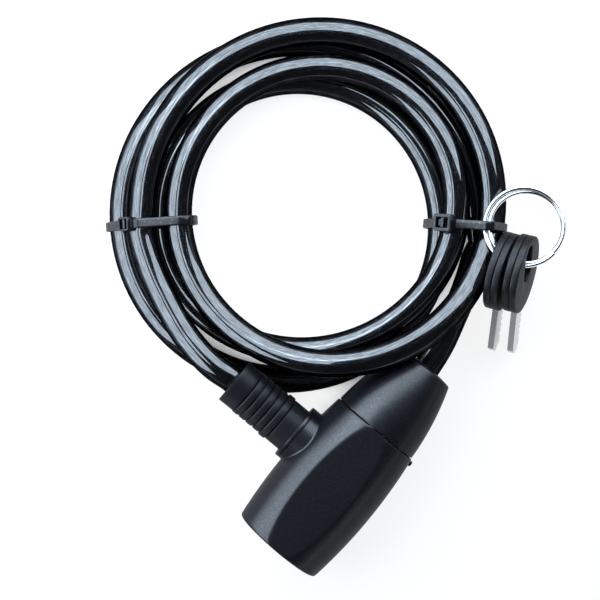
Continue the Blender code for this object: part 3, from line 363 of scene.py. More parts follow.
def rope_group():
    inputs = [("Way", None), ("Strands", 7.0), ("Strand lay", 55 * MM), ("Wires", 64.0),
              ("Wire lay", 16 * MM)]
    tree, given, made = group("wound_rope", inputs, ["Height", "Mask"])
    way = tree.nodes.new("ShaderNodeSeparateXYZ")
    tree.links.new(given.outputs["Way"], way.inputs[0])
    along, around = way.outputs["X"], way.outputs["Y"]

    def lay(count, pitch, sign):
        turns = maths(tree, "DIVIDE", along, given.outputs[pitch])
        phase = maths(tree, "ADD", maths(tree, "MULTIPLY", around, given.outputs[count]),
                      maths(tree, "MULTIPLY", turns, sign))
        return maths(tree, "ABSOLUTE", maths(tree, "SINE", maths(tree, "MULTIPLY", phase, math.pi)))

    strands = lay("Strands", "Strand lay", 1.0)
    wires = lay("Wires", "Wire lay", -1.0)
    streak_place, streaks = add_nodes(tree, "CombineXYZ", "TexNoise")
    turned = maths(tree, "ADD", around, maths(tree, "MULTIPLY", along, STREAK_TWIST))
    for socket, angle in (("X", "COSINE"), ("Y", "SINE")):
        value = maths(tree, angle, maths(tree, "MULTIPLY", turned, 2 * math.pi))
        tree.links.new(maths(tree, "MULTIPLY", value, STREAKS_ROUND), streak_place.inputs[socket])
    tree.links.new(maths(tree, "MULTIPLY", along, STREAKS_ALONG), streak_place.inputs["Z"])
    tree.links.new(streak_place.outputs[0], streaks.inputs["Vector"])
    streaks.inputs["Scale"].default_value = STREAK_SCALE
    streaks.inputs["Detail"].default_value = 4.0
    shade = maths(tree, "ADD", maths(tree, "MULTIPLY", wires, WIRE_SHADE), WIRE_BASE)
    mask = maths(tree, "MULTIPLY", shade, streaks.outputs["Fac"])
    height = maths(tree, "ADD", maths(tree, "MULTIPLY", strands, STRAND_HEIGHT),
                   maths(tree, "MULTIPLY", wires, WIRE_HEIGHT))
    tree.links.new(maths(tree, "ADD", height, streaks.outputs["Fac"]), made.inputs["Height"])
    tree.links.new(mask, made.inputs["Mask"])
    return tree


spark_grain = grain_group()
wound_rope = rope_group()
print("node groups:", [g.name for g in bpy.data.node_groups])

# %% [markdown]
# ## Finishes
# Every finish is a Principled shader whose colour, roughness and bump come from one of the groups. What is
# the same all over a surface stays on the shader's own socket. The black ones carry a clear gloss whose
# weight follows the grain, or the wires of the rope, and fades where the surface turns away from the eye.

# %% Finishes
GRAIN_GLOSS = (0.45, 1.0)
GRAIN_LOW, GRAIN_HIGH = 0.25, 0.75
WIRE_GLOSS = (0.5, 1.0)
WIRE_LOW, WIRE_HIGH = 0.35, 0.7
DULL = {"Specular_IOR_Level": 0.05}
ROPE_DARK = (0.004, 0.004, 0.005)
ROPE_PALE = (0.05, 0.053, 0.058)


def finish_of(name, colour, roughness, metallic=0.0, **sockets):
    look = bpy.data.materials.new(name)
    look.use_nodes = True
    shader = look.node_tree.nodes["Principled BSDF"]
    shader.inputs["Base Color"].default_value = (*colour, 1)
    shader.inputs["Roughness"].default_value = roughness
    shader.inputs["Metallic"].default_value = metallic
    for label, value in sockets.items():
        shader.inputs[label.replace("_", " ")].default_value = value
    return look


def ranged(tree, value, low, high, start=0.0, end=1.0):
    """A value that goes from low to high while another goes from start to end."""
    node = tree.nodes.new("ShaderNodeMapRange")
    tree.links.new(value, node.inputs["Value"])
    for label, number in (("From Min", start), ("From Max", end), ("To Min", low), ("To Max", high)):
        node.inputs[label].default_value = number
    return node.outputs["Result"]


def tinted(tree, value, low, high, start=0.3, end=0.7):
    """A 0 to 1 value as a colour between two others."""
    node = tree.nodes.new("ShaderNodeValToRGB")
    tree.links.new(value, node.inputs["Fac"])
    for element, position, colour in zip(node.color_ramp.elements, (start, end), (low, high)):
        element.position = position
        element.color = (*colour, 1)
    return node.outputs["Color"]


def bumped(look, height, depth, strength):
    tree = look.node_tree
    bump = tree.nodes.new("ShaderNodeBump")
    bump.inputs["Distance"].default_value = depth
    bump.inputs["Strength"].default_value = strength
    tree.links.new(height, bump.inputs["Height"])
    tree.links.new(bump.outputs[0], tree.nodes["Principled BSDF"].inputs["Normal"])


def clear_gloss(look, roughness, ior, near, far, rim, speckle=None):
    """A clear gloss over a black finish, full where the surface faces the eye and weak towards the rim, so
    that the white floor doesn't outline every black piece. Near and far are where the fall starts and ends,
    and rim is what is left past it."""
    tree = look.node_tree
    shader = tree.nodes["Principled BSDF"]
    shader.inputs["Coat Roughness"].default_value = roughness
    shader.inputs["Coat IOR"].default_value = ior
    turned_away, fall = add_nodes(tree, "LayerWeight", "MapRange")
    fall.interpolation_type = "SMOOTHSTEP"
    for label, value in (("From Min", near), ("From Max", far), ("To Min", 1.0), ("To Max", rim)):
        fall.inputs[label].default_value = value
    tree.links.new(turned_away.outputs["Facing"], fall.inputs["Value"])
    weight = fall.outputs["Result"]
    if speckle:
        weight = maths(tree, "MULTIPLY", weight, speckle)
    tree.links.new(weight, shader.inputs["Coat Weight"])


def grained(name, dark, pale, roughness, grains, depth, strength, spread=0.08, metallic=0.0, gloss=None,
            **sockets):
    """A finish with the spark-eroded grain at its own scale. Gloss is (roughness, ior, near, far, rim)."""
    look = finish_of(name, dark, roughness, metallic, **sockets)
    tree = look.node_tree
    shader = tree.nodes["Principled BSDF"]
    place, grain = add_nodes(tree, "TexCoord", "Group")
    grain.node_tree = spark_grain
    grain.inputs["Grains per metre"].default_value = grains
    tree.links.new(place.outputs["Object"], grain.inputs["Place"])
    tree.links.new(tinted(tree, grain.outputs["Height"], dark, pale), shader.inputs["Base Color"])
    rough = ranged(tree, grain.outputs["Mask"], roughness - spread, roughness + spread)
    tree.links.new(rough, shader.inputs["Roughness"])
    bumped(look, grain.outputs["Height"], depth, strength)
    if gloss:
        speckle = ranged(tree, grain.outputs["Height"], *GRAIN_GLOSS, GRAIN_LOW, GRAIN_HIGH)
        clear_gloss(look, *gloss, speckle=speckle)
    return look


def roped(name):
    """Wound steel wire under a clear, slightly smoky sleeve. The surface's map says where along the cable and
    how far round it a point lies."""
    look = finish_of(name, (0.03, 0.03, 0.035), 0.22, 1.0)
    tree = look.node_tree
    shader = tree.nodes["Principled BSDF"]
    shader.inputs["Specular Tint"].default_value = (0.08, 0.08, 0.08, 1)
    way, rope = add_nodes(tree, "TexCoord", "Group")
    rope.node_tree = wound_rope
    tree.links.new(way.outputs["UV"], rope.inputs["Way"])
    colour = tinted(tree, rope.outputs["Mask"], ROPE_DARK, ROPE_PALE, 0.34, 0.74)
    tree.links.new(colour, shader.inputs["Base Color"])
    tree.links.new(ranged(tree, rope.outputs["Mask"], 0.30, 0.16), shader.inputs["Roughness"])
    bumped(look, rope.outputs["Height"], 0.25 * MM, 0.5)
    wires = ranged(tree, rope.outputs["Mask"], *WIRE_GLOSS, WIRE_LOW, WIRE_HIGH)
    clear_gloss(look, 0.04, 2.4, 0.2, 0.34, 0.02, speckle=wires)
    shader.inputs["Specular IOR Level"].default_value = 0.05
    return look


plastic = grained("textured_plastic", (0.004, 0.004, 0.006), (0.009, 0.010, 0.014), 0.5, 2300, 0.12 * MM, 0.4,
                  gloss=(0.32, 1.95, 0.12, 0.38, 0.2), **DULL)
head_plastic = grained("key_head_plastic", (0.004, 0.004, 0.005), (0.012, 0.013, 0.016), 0.5, 1700, 0.2 * MM,
                       0.6, gloss=(0.36, 1.6, 0.15, 0.55, 0.15), **DULL)
rubber = grained("boot_rubber", (0.005, 0.005, 0.007), (0.009, 0.009, 0.011), 0.6, 3800, 0.05 * MM, 0.3,
                 gloss=(0.42, 1.5, 0.2, 0.6, 0.2), **DULL)
strap_look = grained("tie_plastic", (0.005, 0.005, 0.006), (0.010, 0.010, 0.012), 0.5, 900, 0.03 * MM, 0.15,
                     gloss=(0.12, 1.75, 0.5, 0.85, 0.4), **DULL)
zinc = grained("cast_zinc", (0.30, 0.30, 0.31), (0.46, 0.46, 0.47), 0.45, 1500, 0.08 * MM, 0.35, metallic=1.0)
brass = grained("plug_brass", (0.62, 0.45, 0.20), (0.74, 0.56, 0.27), 0.3, 900, 0.03 * MM, 0.2, metallic=1.0)
steel = grained("turned_steel", (0.50, 0.50, 0.51), (0.62, 0.62, 0.63), 0.28, 700, 0.02 * MM, 0.15,
                metallic=1.0)
blade_steel = grained("key_steel", (0.66, 0.66, 0.67), (0.86, 0.86, 0.87), 0.42, 1400, 0.03 * MM, 0.3,
                      metallic=1.0)
chrome = grained("ring_chrome", (0.86, 0.86, 0.87), (0.95, 0.95, 0.96), 0.18, 600, 0.01 * MM, 0.1, 0.04,
                 metallic=1.0)
sleeve = roped("cable_sleeve")
print("finishes:", [m.name for m in bpy.data.materials])

# %% [markdown]
# ## The cable
# The cable is the lock's main form: one length, 10 mm thick, from the barrel to the cap. Its middle line
# follows a rule, two flat spirals one above the other, with a hump where a loop lies over the cap. A geometry
# node tree sweeps a round section along that line and keeps how far along and how far round each point lies,
# so that the wires of the rope can follow the cable through every bend.

# %% The coil's rule
CABLE_RADIUS = 5.0 * MM
COIL_ZERO = math.radians(-50.0)
UPPER_CENTRE = (-65.7 * MM, 79.1 * MM)
LOWER_CENTRE = (-72.4 * MM, 67.3 * MM)
UPPER_RADIUS = 66.9 * MM
LOWER_RADIUS = 48.5 * MM
LOOP_STEP = 13.1 * MM
LOWER_STEP = 14.0 * MM
COIL_START, UPPER_END, LOWER_START, COIL_END = 92.0, 632.0, 812.0, 1347.0
SWING_OUT = 2.6 * MM
DROP_START, DROP_END = 675.0, 790.0
UPPER_Z = 16.8 * MM
LOWER_Z = 5.1 * MM
STRAP_THICK = 1.2 * MM
HUMP = 12.1 * MM
HUMP_AT, HUMP_BEFORE, HUMP_AFTER = 327.0, 58.0, 100.0
STRAIGHT_END = 10.0 * MM
COIL_POINTS = 24


def ease(value, start, end):
    """0 before start, 1 after end, smooth between."""
    t = min(1.0, max(0.0, (value - start) / (end - start)))
    return t * t * (3 - 2 * t)


def coil_point(turn):
    """The cable's middle line at a turn angle in degrees."""
    lower = ease(turn, UPPER_END, LOWER_START)
    wound_in = UPPER_RADIUS - LOOP_STEP * (min(turn, UPPER_END) - COIL_START) / 360
    wound_out = LOWER_RADIUS + LOWER_STEP * (max(turn, LOWER_START) - LOWER_START) / 360
    share = min(1.0, max(0.0, (turn - UPPER_END) / (LOWER_START - UPPER_END)))
    radius = wound_in * (1 - lower) + wound_out * lower + SWING_OUT * math.sin(math.pi * share) ** 2
    angle = COIL_ZERO - math.radians(turn)
    x = UPPER_CENTRE[0] * (1 - lower) + LOWER_CENTRE[0] * lower + radius * math.cos(angle)
    y = UPPER_CENTRE[1] * (1 - lower) + LOWER_CENTRE[1] * lower + radius * math.sin(angle)
    past = turn - HUMP_AT
    reach = HUMP_AFTER if past > 0 else HUMP_BEFORE
    hump = HUMP * math.cos(math.pi / 2 * min(1.0, abs(past) / reach)) ** 2
    on_strap = (STRAP_THICK + CLEAR) * math.sin(math.radians(turn)) ** 2
    dropped = ease(turn, DROP_START, DROP_END)
    return Vector((x, y, (UPPER_Z + hump) * (1 - dropped) + (LOWER_Z + on_strap) * dropped))


def coil_path(a_turn):
    """The coil's points, with a straight end on each side."""
    count = round((COIL_END - COIL_START) / 360 * a_turn) + 1
    winding = [coil_point(turn) for turn in steps_between(COIL_START, COIL_END, count)]
    first = coil_point(COIL_START) - coil_point(COIL_START + 0.01)
    last = coil_point(COIL_END) - coil_point(COIL_END - 0.01)
    first.z = last.z = 0
    return ([winding[0] + first.normalized() * STRAIGHT_END] + winding
            + [winding[-1] + last.normalized() * STRAIGHT_END])


def length_of(points):
    return sum((b - a).length for a, b in zip(points, points[1:]))


coil_line = coil_path(120)
print(f"coil: {length_of(coil_line):.3f} m of cable")

# %% [markdown]
# ## The two free stretches
# One stretch climbs out of the boot onto the top layer, the other ducks under the loop above it and goes into
# the cap. Each is a smooth curve through a few points, and it meets the coil's end face with a hair's gap.

# %% Routes of the free stretches
FACET = 16.9 * MM
NECK_Y = 8.9 * MM
NECK_FACE = 22.2 * MM
NECK_SEAT = 17.1 * MM
BOOT_END = 50.8 * MM
BOOT_RISE = 3.1 * MM
CARRIER_END = 53.0 * MM
CAP_END = 57.2 * MM
FACE_STRAIGHT = 2.0 * MM
BOOT_ROUTE = ((-59.5, 8.2, 20.6), (-68.0, 8.9, 20.0), (-77.1, 10.9, 19.0), (-87.4, 14.7, 17.9),
              (-97.6, 19.3, 17.1), (-105.9, 24.2, 16.9))
CAP_ROUTE = ((-11.6, 100.2, 7.0), (-8.9, 93.7, 8.7), (-6.2, 85.7, 11.0), (-3.8, 76.9, 13.6),
             (-1.3, 67.0, 15.8))


def smooth_curve(route, spacing):
    """Even points on a smooth curve through a route. Its first and last points only guide the ends."""
    fine = []
    for a, b, c, d in zip(route, route[1:], route[2:], route[3:]):
        for t in steps_between(0.0, 1.0, 17)[:-1]:
            bend = 2 * b + (c - a) * t + (2 * a - 5 * b + 4 * c - d) * t**2 + (3 * b - a - 3 * c + d) * t**3
            fine.append(0.5 * bend)
    fine.append(route[-2])
    lengths = [0.0]
    for a, b in zip(fine, fine[1:]):
        lengths.append(lengths[-1] + (b - a).length)
    points = []
    at = 0
    for wanted in steps_between(0.0, lengths[-1], max(2, round(lengths[-1] / spacing) + 1)):
        while at < len(fine) - 2 and lengths[at + 1] < wanted:
            at += 1
        share = (wanted - lengths[at]) / (lengths[at + 1] - lengths[at])
        points.append(fine[at].lerp(fine[at + 1], share))
    return points


def boot_arc(out):
    """(reach, rise, slope) of the boot's middle line at a distance along it from the barrel's axis."""
    curve = (BOOT_END - NECK_FACE) ** 2 / (2 * BOOT_RISE)
    if out <= NECK_FACE:
        return out, 0.0, 0.0
    slope = (out - NECK_FACE) / curve
    return NECK_FACE + curve * math.sin(slope), curve * (1 - math.cos(slope)), slope


coarse_coil = coil_path(COIL_POINTS)
inside_boot = [boot_arc(out) for out in steps_between(NECK_SEAT + 2 * CLEAR, BOOT_END + 2 * MM, 16)]
inside_boot = [Vector((-reach, NECK_Y, FACET + rise)) for reach, rise, slope in inside_boot]
back = (coarse_coil[0] - coarse_coil[1]).normalized()
boot_meet = coarse_coil[0] + back * CLEAR
route = inside_boot[-2:] + [Vector(p) * MM for p in BOOT_ROUTE]
route += [boot_meet + back * FACE_STRAIGHT, boot_meet]
boot_line = inside_boot[:-1] + smooth_curve(route, 2 * MM) + [boot_meet]

onward = (coarse_coil[-1] - coarse_coil[-2]).normalized()
cap_meet = coarse_coil[-1] + onward * CLEAR
cap_start = Vector((0, CARRIER_END + CLEAR, FACET))
route = [cap_meet, cap_meet + onward * FACE_STRAIGHT] + [Vector(p) * MM for p in CAP_ROUTE]
route += [Vector((0, CAP_END, FACET)), cap_start]
cap_line = [cap_meet] + smooth_curve(route, 2 * MM) + [cap_start]
print(f"to the boot {length_of(boot_line):.4f} m, to the cap {length_of(cap_line):.4f} m")

# %% [markdown]
# ## A node tree that sweeps a section along a line
# The same tree makes the cable and the key ring's wire. Its section is an arc of a whole turn, so that the
# way round runs from 0 to 1, and the seam is merged after the map is stored.

# %% Sweep tree


def geometry_tree(name, **inputs):
    """An empty geometry node tree with its own numbers as inputs, and one input for the finish."""
    tree = bpy.data.node_groups.new(name, "GeometryNodeTree")
    tree.interface.new_socket("Geometry", in_out="INPUT", socket_type="NodeSocketGeometry")
    for label, value in inputs.items():
        kind = "NodeSocketInt" if isinstance(value, int) else "NodeSocketFloat"
        tree.interface.new_socket(label, in_out="INPUT", socket_type=kind).default_value = value
    tree.interface.new_socket("Finish", in_out="INPUT", socket_type="NodeSocketMaterial")
    tree.interface.new_socket("Geometry", in_out="OUTPUT", socket_type="NodeSocketGeometry")
    return tree, tree.nodes.new("NodeGroupInput"), tree.nodes.new("NodeGroupOutput")


def sweep_tree():
    """A round section along a line, with the way along it and round it stored as its map."""
    tree, given, made = geometry_tree("sweep_along_line", Radius=CABLE_RADIUS, Sides=40)
    line, on_line, section, round_it, on_section, sweep, store, merge, realize, paint = add_nodes(
        tree, "SplineParameter", "CaptureAttribute", "CurveArc", "SplineParameter", "CaptureAttribute",
        "CurveToMesh", "StoreNamedAttribute", "MergeByDistance", "RealizeInstances", "SetMaterial",
        family="GeometryNode")
    way, = add_nodes(tree, "CombineXYZ")
    on_line.capture_items.new("FLOAT", "along")
    on_section.capture_items.new("FLOAT", "around")
    section.inputs["Sweep Angle"].default_value = 2 * math.pi
    store.data_type = "FLOAT2"
    store.domain = "CORNER"
    store.inputs["Name"].default_value = "UVMap"
    merge.inputs["Distance"].default_value = DOUBLES
    wire(tree, (given, "Geometry", on_line, "Geometry"), (line, "Length", on_line, "along"),
         (given, "Radius", section, "Radius"), (given, "Sides", section, "Resolution"),
         (section, "Curve", on_section, "Geometry"), (round_it, "Factor", on_section, "around"),
         (on_line, "Geometry", sweep, "Curve"), (on_section, "Geometry", sweep, "Profile Curve"),
         (on_line, "along", way, "X"), (on_section, "around", way, "Y"),
         (sweep, "Mesh", store, "Geometry"), (way, 0, store, "Value"),
         (store, "Geometry", merge, "Geometry"), (merge, "Geometry", realize, "Geometry"),
         (realize, "Geometry", paint, "Geometry"), (given, "Finish", paint, "Material"),
         (paint, "Geometry", made, "Geometry"))
    return tree


def set_inputs(modifier, **values):
    """Sets a node modifier's inputs by the sockets' identifiers."""
    for item in modifier.node_group.interface.items_tree:
        if item.in_out == "INPUT" and item.name in values:
            modifier[item.identifier] = values[item.name]


def baked(helper, modifier):
    """The plain mesh that a node modifier makes of an object, which is then removed."""
    bpy.context.view_layer.update()
    graph = bpy.context.evaluated_depsgraph_get()
    mesh = bpy.data.meshes.new_from_object(helper.evaluated_get(graph), depsgraph=graph)
    helper.modifiers.remove(modifier)
    bpy.data.objects.remove(helper)
    return mesh


def swept(name, points, radius, sides, look):
    """A round section swept along a line of points, closed at both ends."""
    curve = bpy.data.curves.new(name, "CURVE")
    curve.dimensions = "3D"
    spline = curve.splines.new("POLY")
    spline.points.add(len(points) - 1)
    for point, co in zip(spline.points, points):
        point.co = (*co, 1)
    helper = bpy.data.objects.new(name, curve)
    bpy.context.scene.collection.objects.link(helper)
    modifier = helper.modifiers.new("sweep", "NODES")
    modifier.node_group = sweep_along_line
    set_inputs(modifier, Radius=radius, Sides=sides + 1, Finish=look)
    mesh = baked(helper, modifier)
    shape = bmesh.new()
    shape.from_mesh(mesh)
    bmesh.ops.holes_fill(shape, edges=[e for e in shape.edges if e.is_boundary])
    bmesh.ops.recalc_face_normals(shape, faces=shape.faces)
    shape.to_mesh(mesh)
    shape.free()
    return mesh


sweep_along_line = sweep_tree()

# %% Cable pieces
CABLE_SIDES = 40
wound_line = coil_line + cap_line
wound_mesh = swept("coil", wound_line, CABLE_RADIUS, CABLE_SIDES, sleeve)
cable_wound = as_piece("sleeved_coil", wound_mesh, sleeve, "cable_side", "cable_sleeve", "cable_coil",
                       "cable_to_cap")
boot_mesh = swept("boot_run", boot_line, CABLE_RADIUS, CABLE_SIDES, sleeve)
cable_boot = as_piece("sleeved_cable_to_boot", boot_mesh, sleeve, ("lock_body", "cable_side"), "cable_sleeve",
                      "cable_to_boot", blend=(inside_boot[-1], boot_meet))

# %% [markdown]
# ## The barrel
# The barrel is a turned shape with a gentle belly that two planes cut flat. Cutting a fine mesh leaves a
# ragged edge, so each ring of points is pulled in to the plane by a soft minimum instead: that gives the
# facet, its curved outline and its slightly rounded edge at once.

# %% Barrel
BARREL_RADIUS = 19.3 * MM
BARREL_CURVE = 196.0 * MM
KEY_END = -26.9 * MM
SEAM = 28.4 * MM
END_BULGE = 1.0 * MM
END_ROUND = 0.7 * MM
END_WALL = 2.6 * MM
BARREL_BORE = 14.8 * MM
PLUG_WINDOW = 7.8 * MM
EDGE_SOFT = 0.3 * MM
SEAM_EDGE = ((0.1, 0.08), (0.35, 0.0))
BARREL_COLUMNS = 288


def barrel_radius(y):
    return BARREL_RADIUS - BARREL_CURVE + math.sqrt(BARREL_CURVE**2 - y**2)


def soft_least(a, b, soft):
    """The lesser of two lengths, with the change from one to the other rounded."""
    near = max(soft - abs(a - b), 0) / soft
    return min(a, b) - near * near * soft / 4


def key_face(radius):
    return KEY_END - END_BULGE * (1 - (radius / barrel_radius(KEY_END)) ** 2)


def ring_row(radius, y, columns, facet=None):
    """A ring of points round the barrel's axis, flattened above and below where it passes a facet."""
    row = []
    for angle in whole_turn(columns):
        here = radius
        if facet:
            here = soft_least(radius, facet / max(abs(math.sin(angle)), 0.05), EDGE_SOFT)
        row.append((here * math.cos(angle), y, FACET + here * math.sin(angle)))
    return row


def barrel_rows():
    rim = barrel_radius(KEY_END)
    edge = SEAM - 0.3 * MM
    outer = [(r, key_face(r)) for r in steps_between(PLUG_WINDOW, rim - END_ROUND, 12)]
    for angle in range(80, 0, -10):
        turn = math.radians(angle)
        outer.append((rim - END_ROUND * (1 - math.cos(turn)), KEY_END + END_ROUND * (1 - math.sin(turn))))
    outer += [(barrel_radius(y), y) for y in steps_between(KEY_END + END_ROUND, edge, 100)]
    outer += [(barrel_radius(SEAM) - less * MM, SEAM - back * MM) for less, back in SEAM_EDGE]
    rows = [ring_row(r, y, BARREL_COLUMNS, FACET) for r, y in outer]
    inside = KEY_END + END_WALL
    for r, y in ((BARREL_BORE, SEAM), (BARREL_BORE, inside), (PLUG_WINDOW, inside)):
        rows.append(ring_row(r, y, BARREL_COLUMNS))
    return rows


# %% [markdown]
# ## The neck collar
# The collar stands on the barrel's round side, so its foot is not a circle on a plane. Each of its points
# starts from the barrel's surface below it, and a quarter-round fillet lets one run into the other.

# %% Neck collar
NECK_RADIUS = 10.9 * MM
NECK_FLARE = 0.4 * MM
BOOT_RADIUS = 8.8 * MM
COLLAR_COLUMNS = 120
COLLAR_SUNK = -0.5 * MM
COLLAR_ROUND = 0.2 * MM
# A fine groove below the lip, then the lip's rounded edge: (less radius, below the face), both in mm.
COLLAR_LIP = ((0, 1.7), (0.1, 1.6), (0, 1.45), (0, 0.35), (0.06, 0.05), (0.2, 0))
PIP_BACK = 1.6 * MM
PIP_SUNK = 0.6 * MM
PIP_ROWS = ((1.0, 0.0), (1.0, 1.25), (0.93, 1.42), (0.75, 1.5))
PIP_COLUMNS = 24


def collar_point(radius, height, angle, from_surface):
    y = NECK_Y + radius * math.cos(angle)
    z = radius * math.sin(angle)
    surface = math.sqrt(barrel_radius(y) ** 2 - z**2)
    return (-(surface + height) if from_surface else -height, y, FACET + z)


def collar():
    seat = BOOT_RADIUS + CLEAR
    rows = [(NECK_RADIUS + NECK_FLARE, COLLAR_SUNK, True)]
    for angle in range(0, 91, 10):
        turn = math.radians(angle)
        flare = NECK_FLARE * (1 - math.sin(turn))
        rows.append((NECK_RADIUS + flare, NECK_FLARE * (1 - math.cos(turn)), True))
    for less, down in COLLAR_LIP:
        rows.append((NECK_RADIUS - less * MM, NECK_FACE - down * MM, False))
    rows += [(seat + COLLAR_ROUND, NECK_FACE, False), (seat, NECK_FACE - COLLAR_ROUND, False)]
    rows.append((seat, COLLAR_SUNK, True))
    turns = whole_turn(COLLAR_COLUMNS)
    return skin([[collar_point(r, h, a, s) for a in turns] for r, h, s in rows], loop=True)


def index_pip():
    """The small mark beside the seam that shows which way round the cap goes."""
    middle = Vector((barrel_radius(SEAM - PIP_BACK) - PIP_SUNK, SEAM - PIP_BACK, FACET))
    rows = []
    for radius, height in PIP_ROWS:
        rows.append([middle + Vector((height * MM, radius * MM * math.cos(a), radius * MM * math.sin(a)))
                     for a in whole_turn(PIP_COLUMNS)])
    return skin(rows)


whole_barrel = merged(skin(barrel_rows(), loop=True), collar(), index_pip())
as_piece("barrel_housing", settle(whole_barrel, "barrel_housing"), plastic, "lock_body", "textured_plastic",
         "housing_shell")

# %% [markdown]
# ## The cap
# The cap continues the barrel's belly in a steeper curve to a slightly domed end, where the cable goes in.

# %% Cap
CAP_WIDE = FACET + 0.25 * MM
CAP_WIDE_Y = 21.5 * MM
CAP_CURVE = 103.0 * MM
CAP_DOME = 0.9 * MM
CAP_WALL = 2.6 * MM
CAP_END_WALL = 2.8 * MM
CAP_COLUMNS = 160
CAP_EDGE = 0.3 * MM
CAP_EDGE_FINE = 0.08 * MM
CAP_FACE_IN = 0.5 * MM
CAP_TURN_LOW, CAP_TURN_HIGH = 0.4 * MM, 0.35 * MM


def cap_radius(y):
    return CAP_WIDE - CAP_CURVE + math.sqrt(CAP_CURVE**2 - (y - CAP_WIDE_Y) ** 2)


def cap_profile():
    start = SEAM + CLEAR
    rim = cap_radius(CAP_END)
    hole = CABLE_RADIUS + CLEAR
    low = CAP_END - CAP_TURN_LOW
    rows = [(cap_radius(start) - CAP_EDGE, start)]
    rows.append((cap_radius(start) - CAP_EDGE_FINE, start + CAP_EDGE_FINE))
    rows += [(cap_radius(y), y) for y in steps_between(start + CAP_EDGE, low, 50)]
    for angle in (25, 50, 75):
        turn = math.radians(angle)
        rows.append((rim - CAP_EDGE * (1 - math.cos(turn)), low + CAP_TURN_HIGH * math.sin(turn)))
    for radius in steps_between(rim - CAP_FACE_IN, hole + CAP_EDGE, 8):
        rows.append((radius, CAP_END + CAP_DOME * (1 - (radius / rim) ** 2)))
    rows += [(hole, CAP_END + CAP_EDGE), (hole, CAP_END - CAP_END_WALL)]
    return rows + [(cap_radius(y) - CAP_WALL, y) for y in steps_between(CAP_END - CAP_END_WALL, start, 6)]


cap_rings = [ring_row(r, y, CAP_COLUMNS) for r, y in cap_profile()]
as_piece("cap_skin", settle(skin(cap_rings, loop=True), "cap_skin"), plastic, "cable_side",
         "textured_plastic", "cap_shell")

# %% [markdown]
# ## The boot and its ribs
# The rubber boot keeps the cable from kinking where it leaves the barrel. Its two smooth sleeves are one skin
# along a gentle arc. Between them five ribs stand at an even pitch, which is work for instances: a node tree
# puts one rounded ring on each marked place, turns it across the arc and scales it by how far it swells. Only
# the rib beside the barrel swells, a little.

# %% Boot
BOOT_SLEEVE = 6.6 * MM
BOOT_RIBS = 5
RIB_PITCH = 3.2 * MM
RIB_WIDTH = 2.75 * MM
RIB_DEPTH = 0.6 * MM
RIB_SECTION = 1.6 * MM
RIB_ROUND = 0.5 * MM
RIB_OUT = 0.05 * MM
RIB_BULGE = 0.4 * MM
RIB_SIDES = 72
BOOT_COLUMNS = 96
BOOT_SUNK = 2.6 * MM
BOOT_ROUND = 0.5 * MM
BOOT_SPACING = 1.0 * MM
BOOT_UPRIGHT = 9 * MM


def boot_row(radius, out):
    """A ring of points round the boot's arc. The end's rings stand upright again, as its face does."""
    reach, rise, slope = boot_arc(out)
    slope *= 1 - ease(out, BOOT_END - BOOT_UPRIGHT, BOOT_END - 0.5 * MM)
    row = []
    for angle in whole_turn(BOOT_COLUMNS):
        across, up = radius * math.cos(angle), radius * math.sin(angle)
        row.append((-reach + up * math.sin(slope), NECK_Y + across, FACET + rise + up * math.cos(slope)))
    return row


def rounded_steps(profile, reach):
    """A profile of (radius, height) whose corners are each cut twice, for a soft edge."""
    made = [profile[0]]
    for a, b, c in zip(profile, profile[1:], profile[2:]):
        a, b, c = Vector(a), Vector(b), Vector(c)
        cut = min(reach, (b - a).length / 2.2, (c - b).length / 2.2)
        start = b + (a - b).normalized() * cut
        end = b + (c - b).normalized() * cut
        made += [start, start.lerp(b, 0.55).lerp(b.lerp(end, 0.45), 0.5), end]
    return [tuple(p) for p in made] + [profile[-1]]


def boot_core():
    ribs_from = NECK_FACE + BOOT_SLEEVE
    ribs_to = ribs_from + BOOT_RIBS * RIB_PITCH
    bore = CABLE_RADIUS + CLEAR
    low = BOOT_RADIUS - RIB_DEPTH
    inner_end = NECK_FACE - BOOT_SUNK
    outer = [(bore, inner_end), (BOOT_RADIUS, inner_end), (BOOT_RADIUS, ribs_from - 0.2 * MM),
             (low, ribs_from + 0.15 * MM), (low, ribs_to - 0.3 * MM), (BOOT_RADIUS - 0.2 * MM, ribs_to),
             (BOOT_RADIUS - 0.15 * MM, BOOT_END), (bore, BOOT_END)]
    soft = rounded_steps(outer, BOOT_ROUND)
    profile = []
    for (r0, h0), (r1, h1) in zip(soft, soft[1:]):
        count = max(1, round(abs(h1 - h0) / BOOT_SPACING))
        profile += [(r0 + (r1 - r0) * i / count, h0 + (h1 - h0) * i / count) for i in range(count)]
    profile.append(outer[-1])
    profile += [(bore, h) for h in steps_between(BOOT_END, inner_end, 12)[1:-1]]
    return skin([boot_row(r, h) for r, h in profile], loop=True)


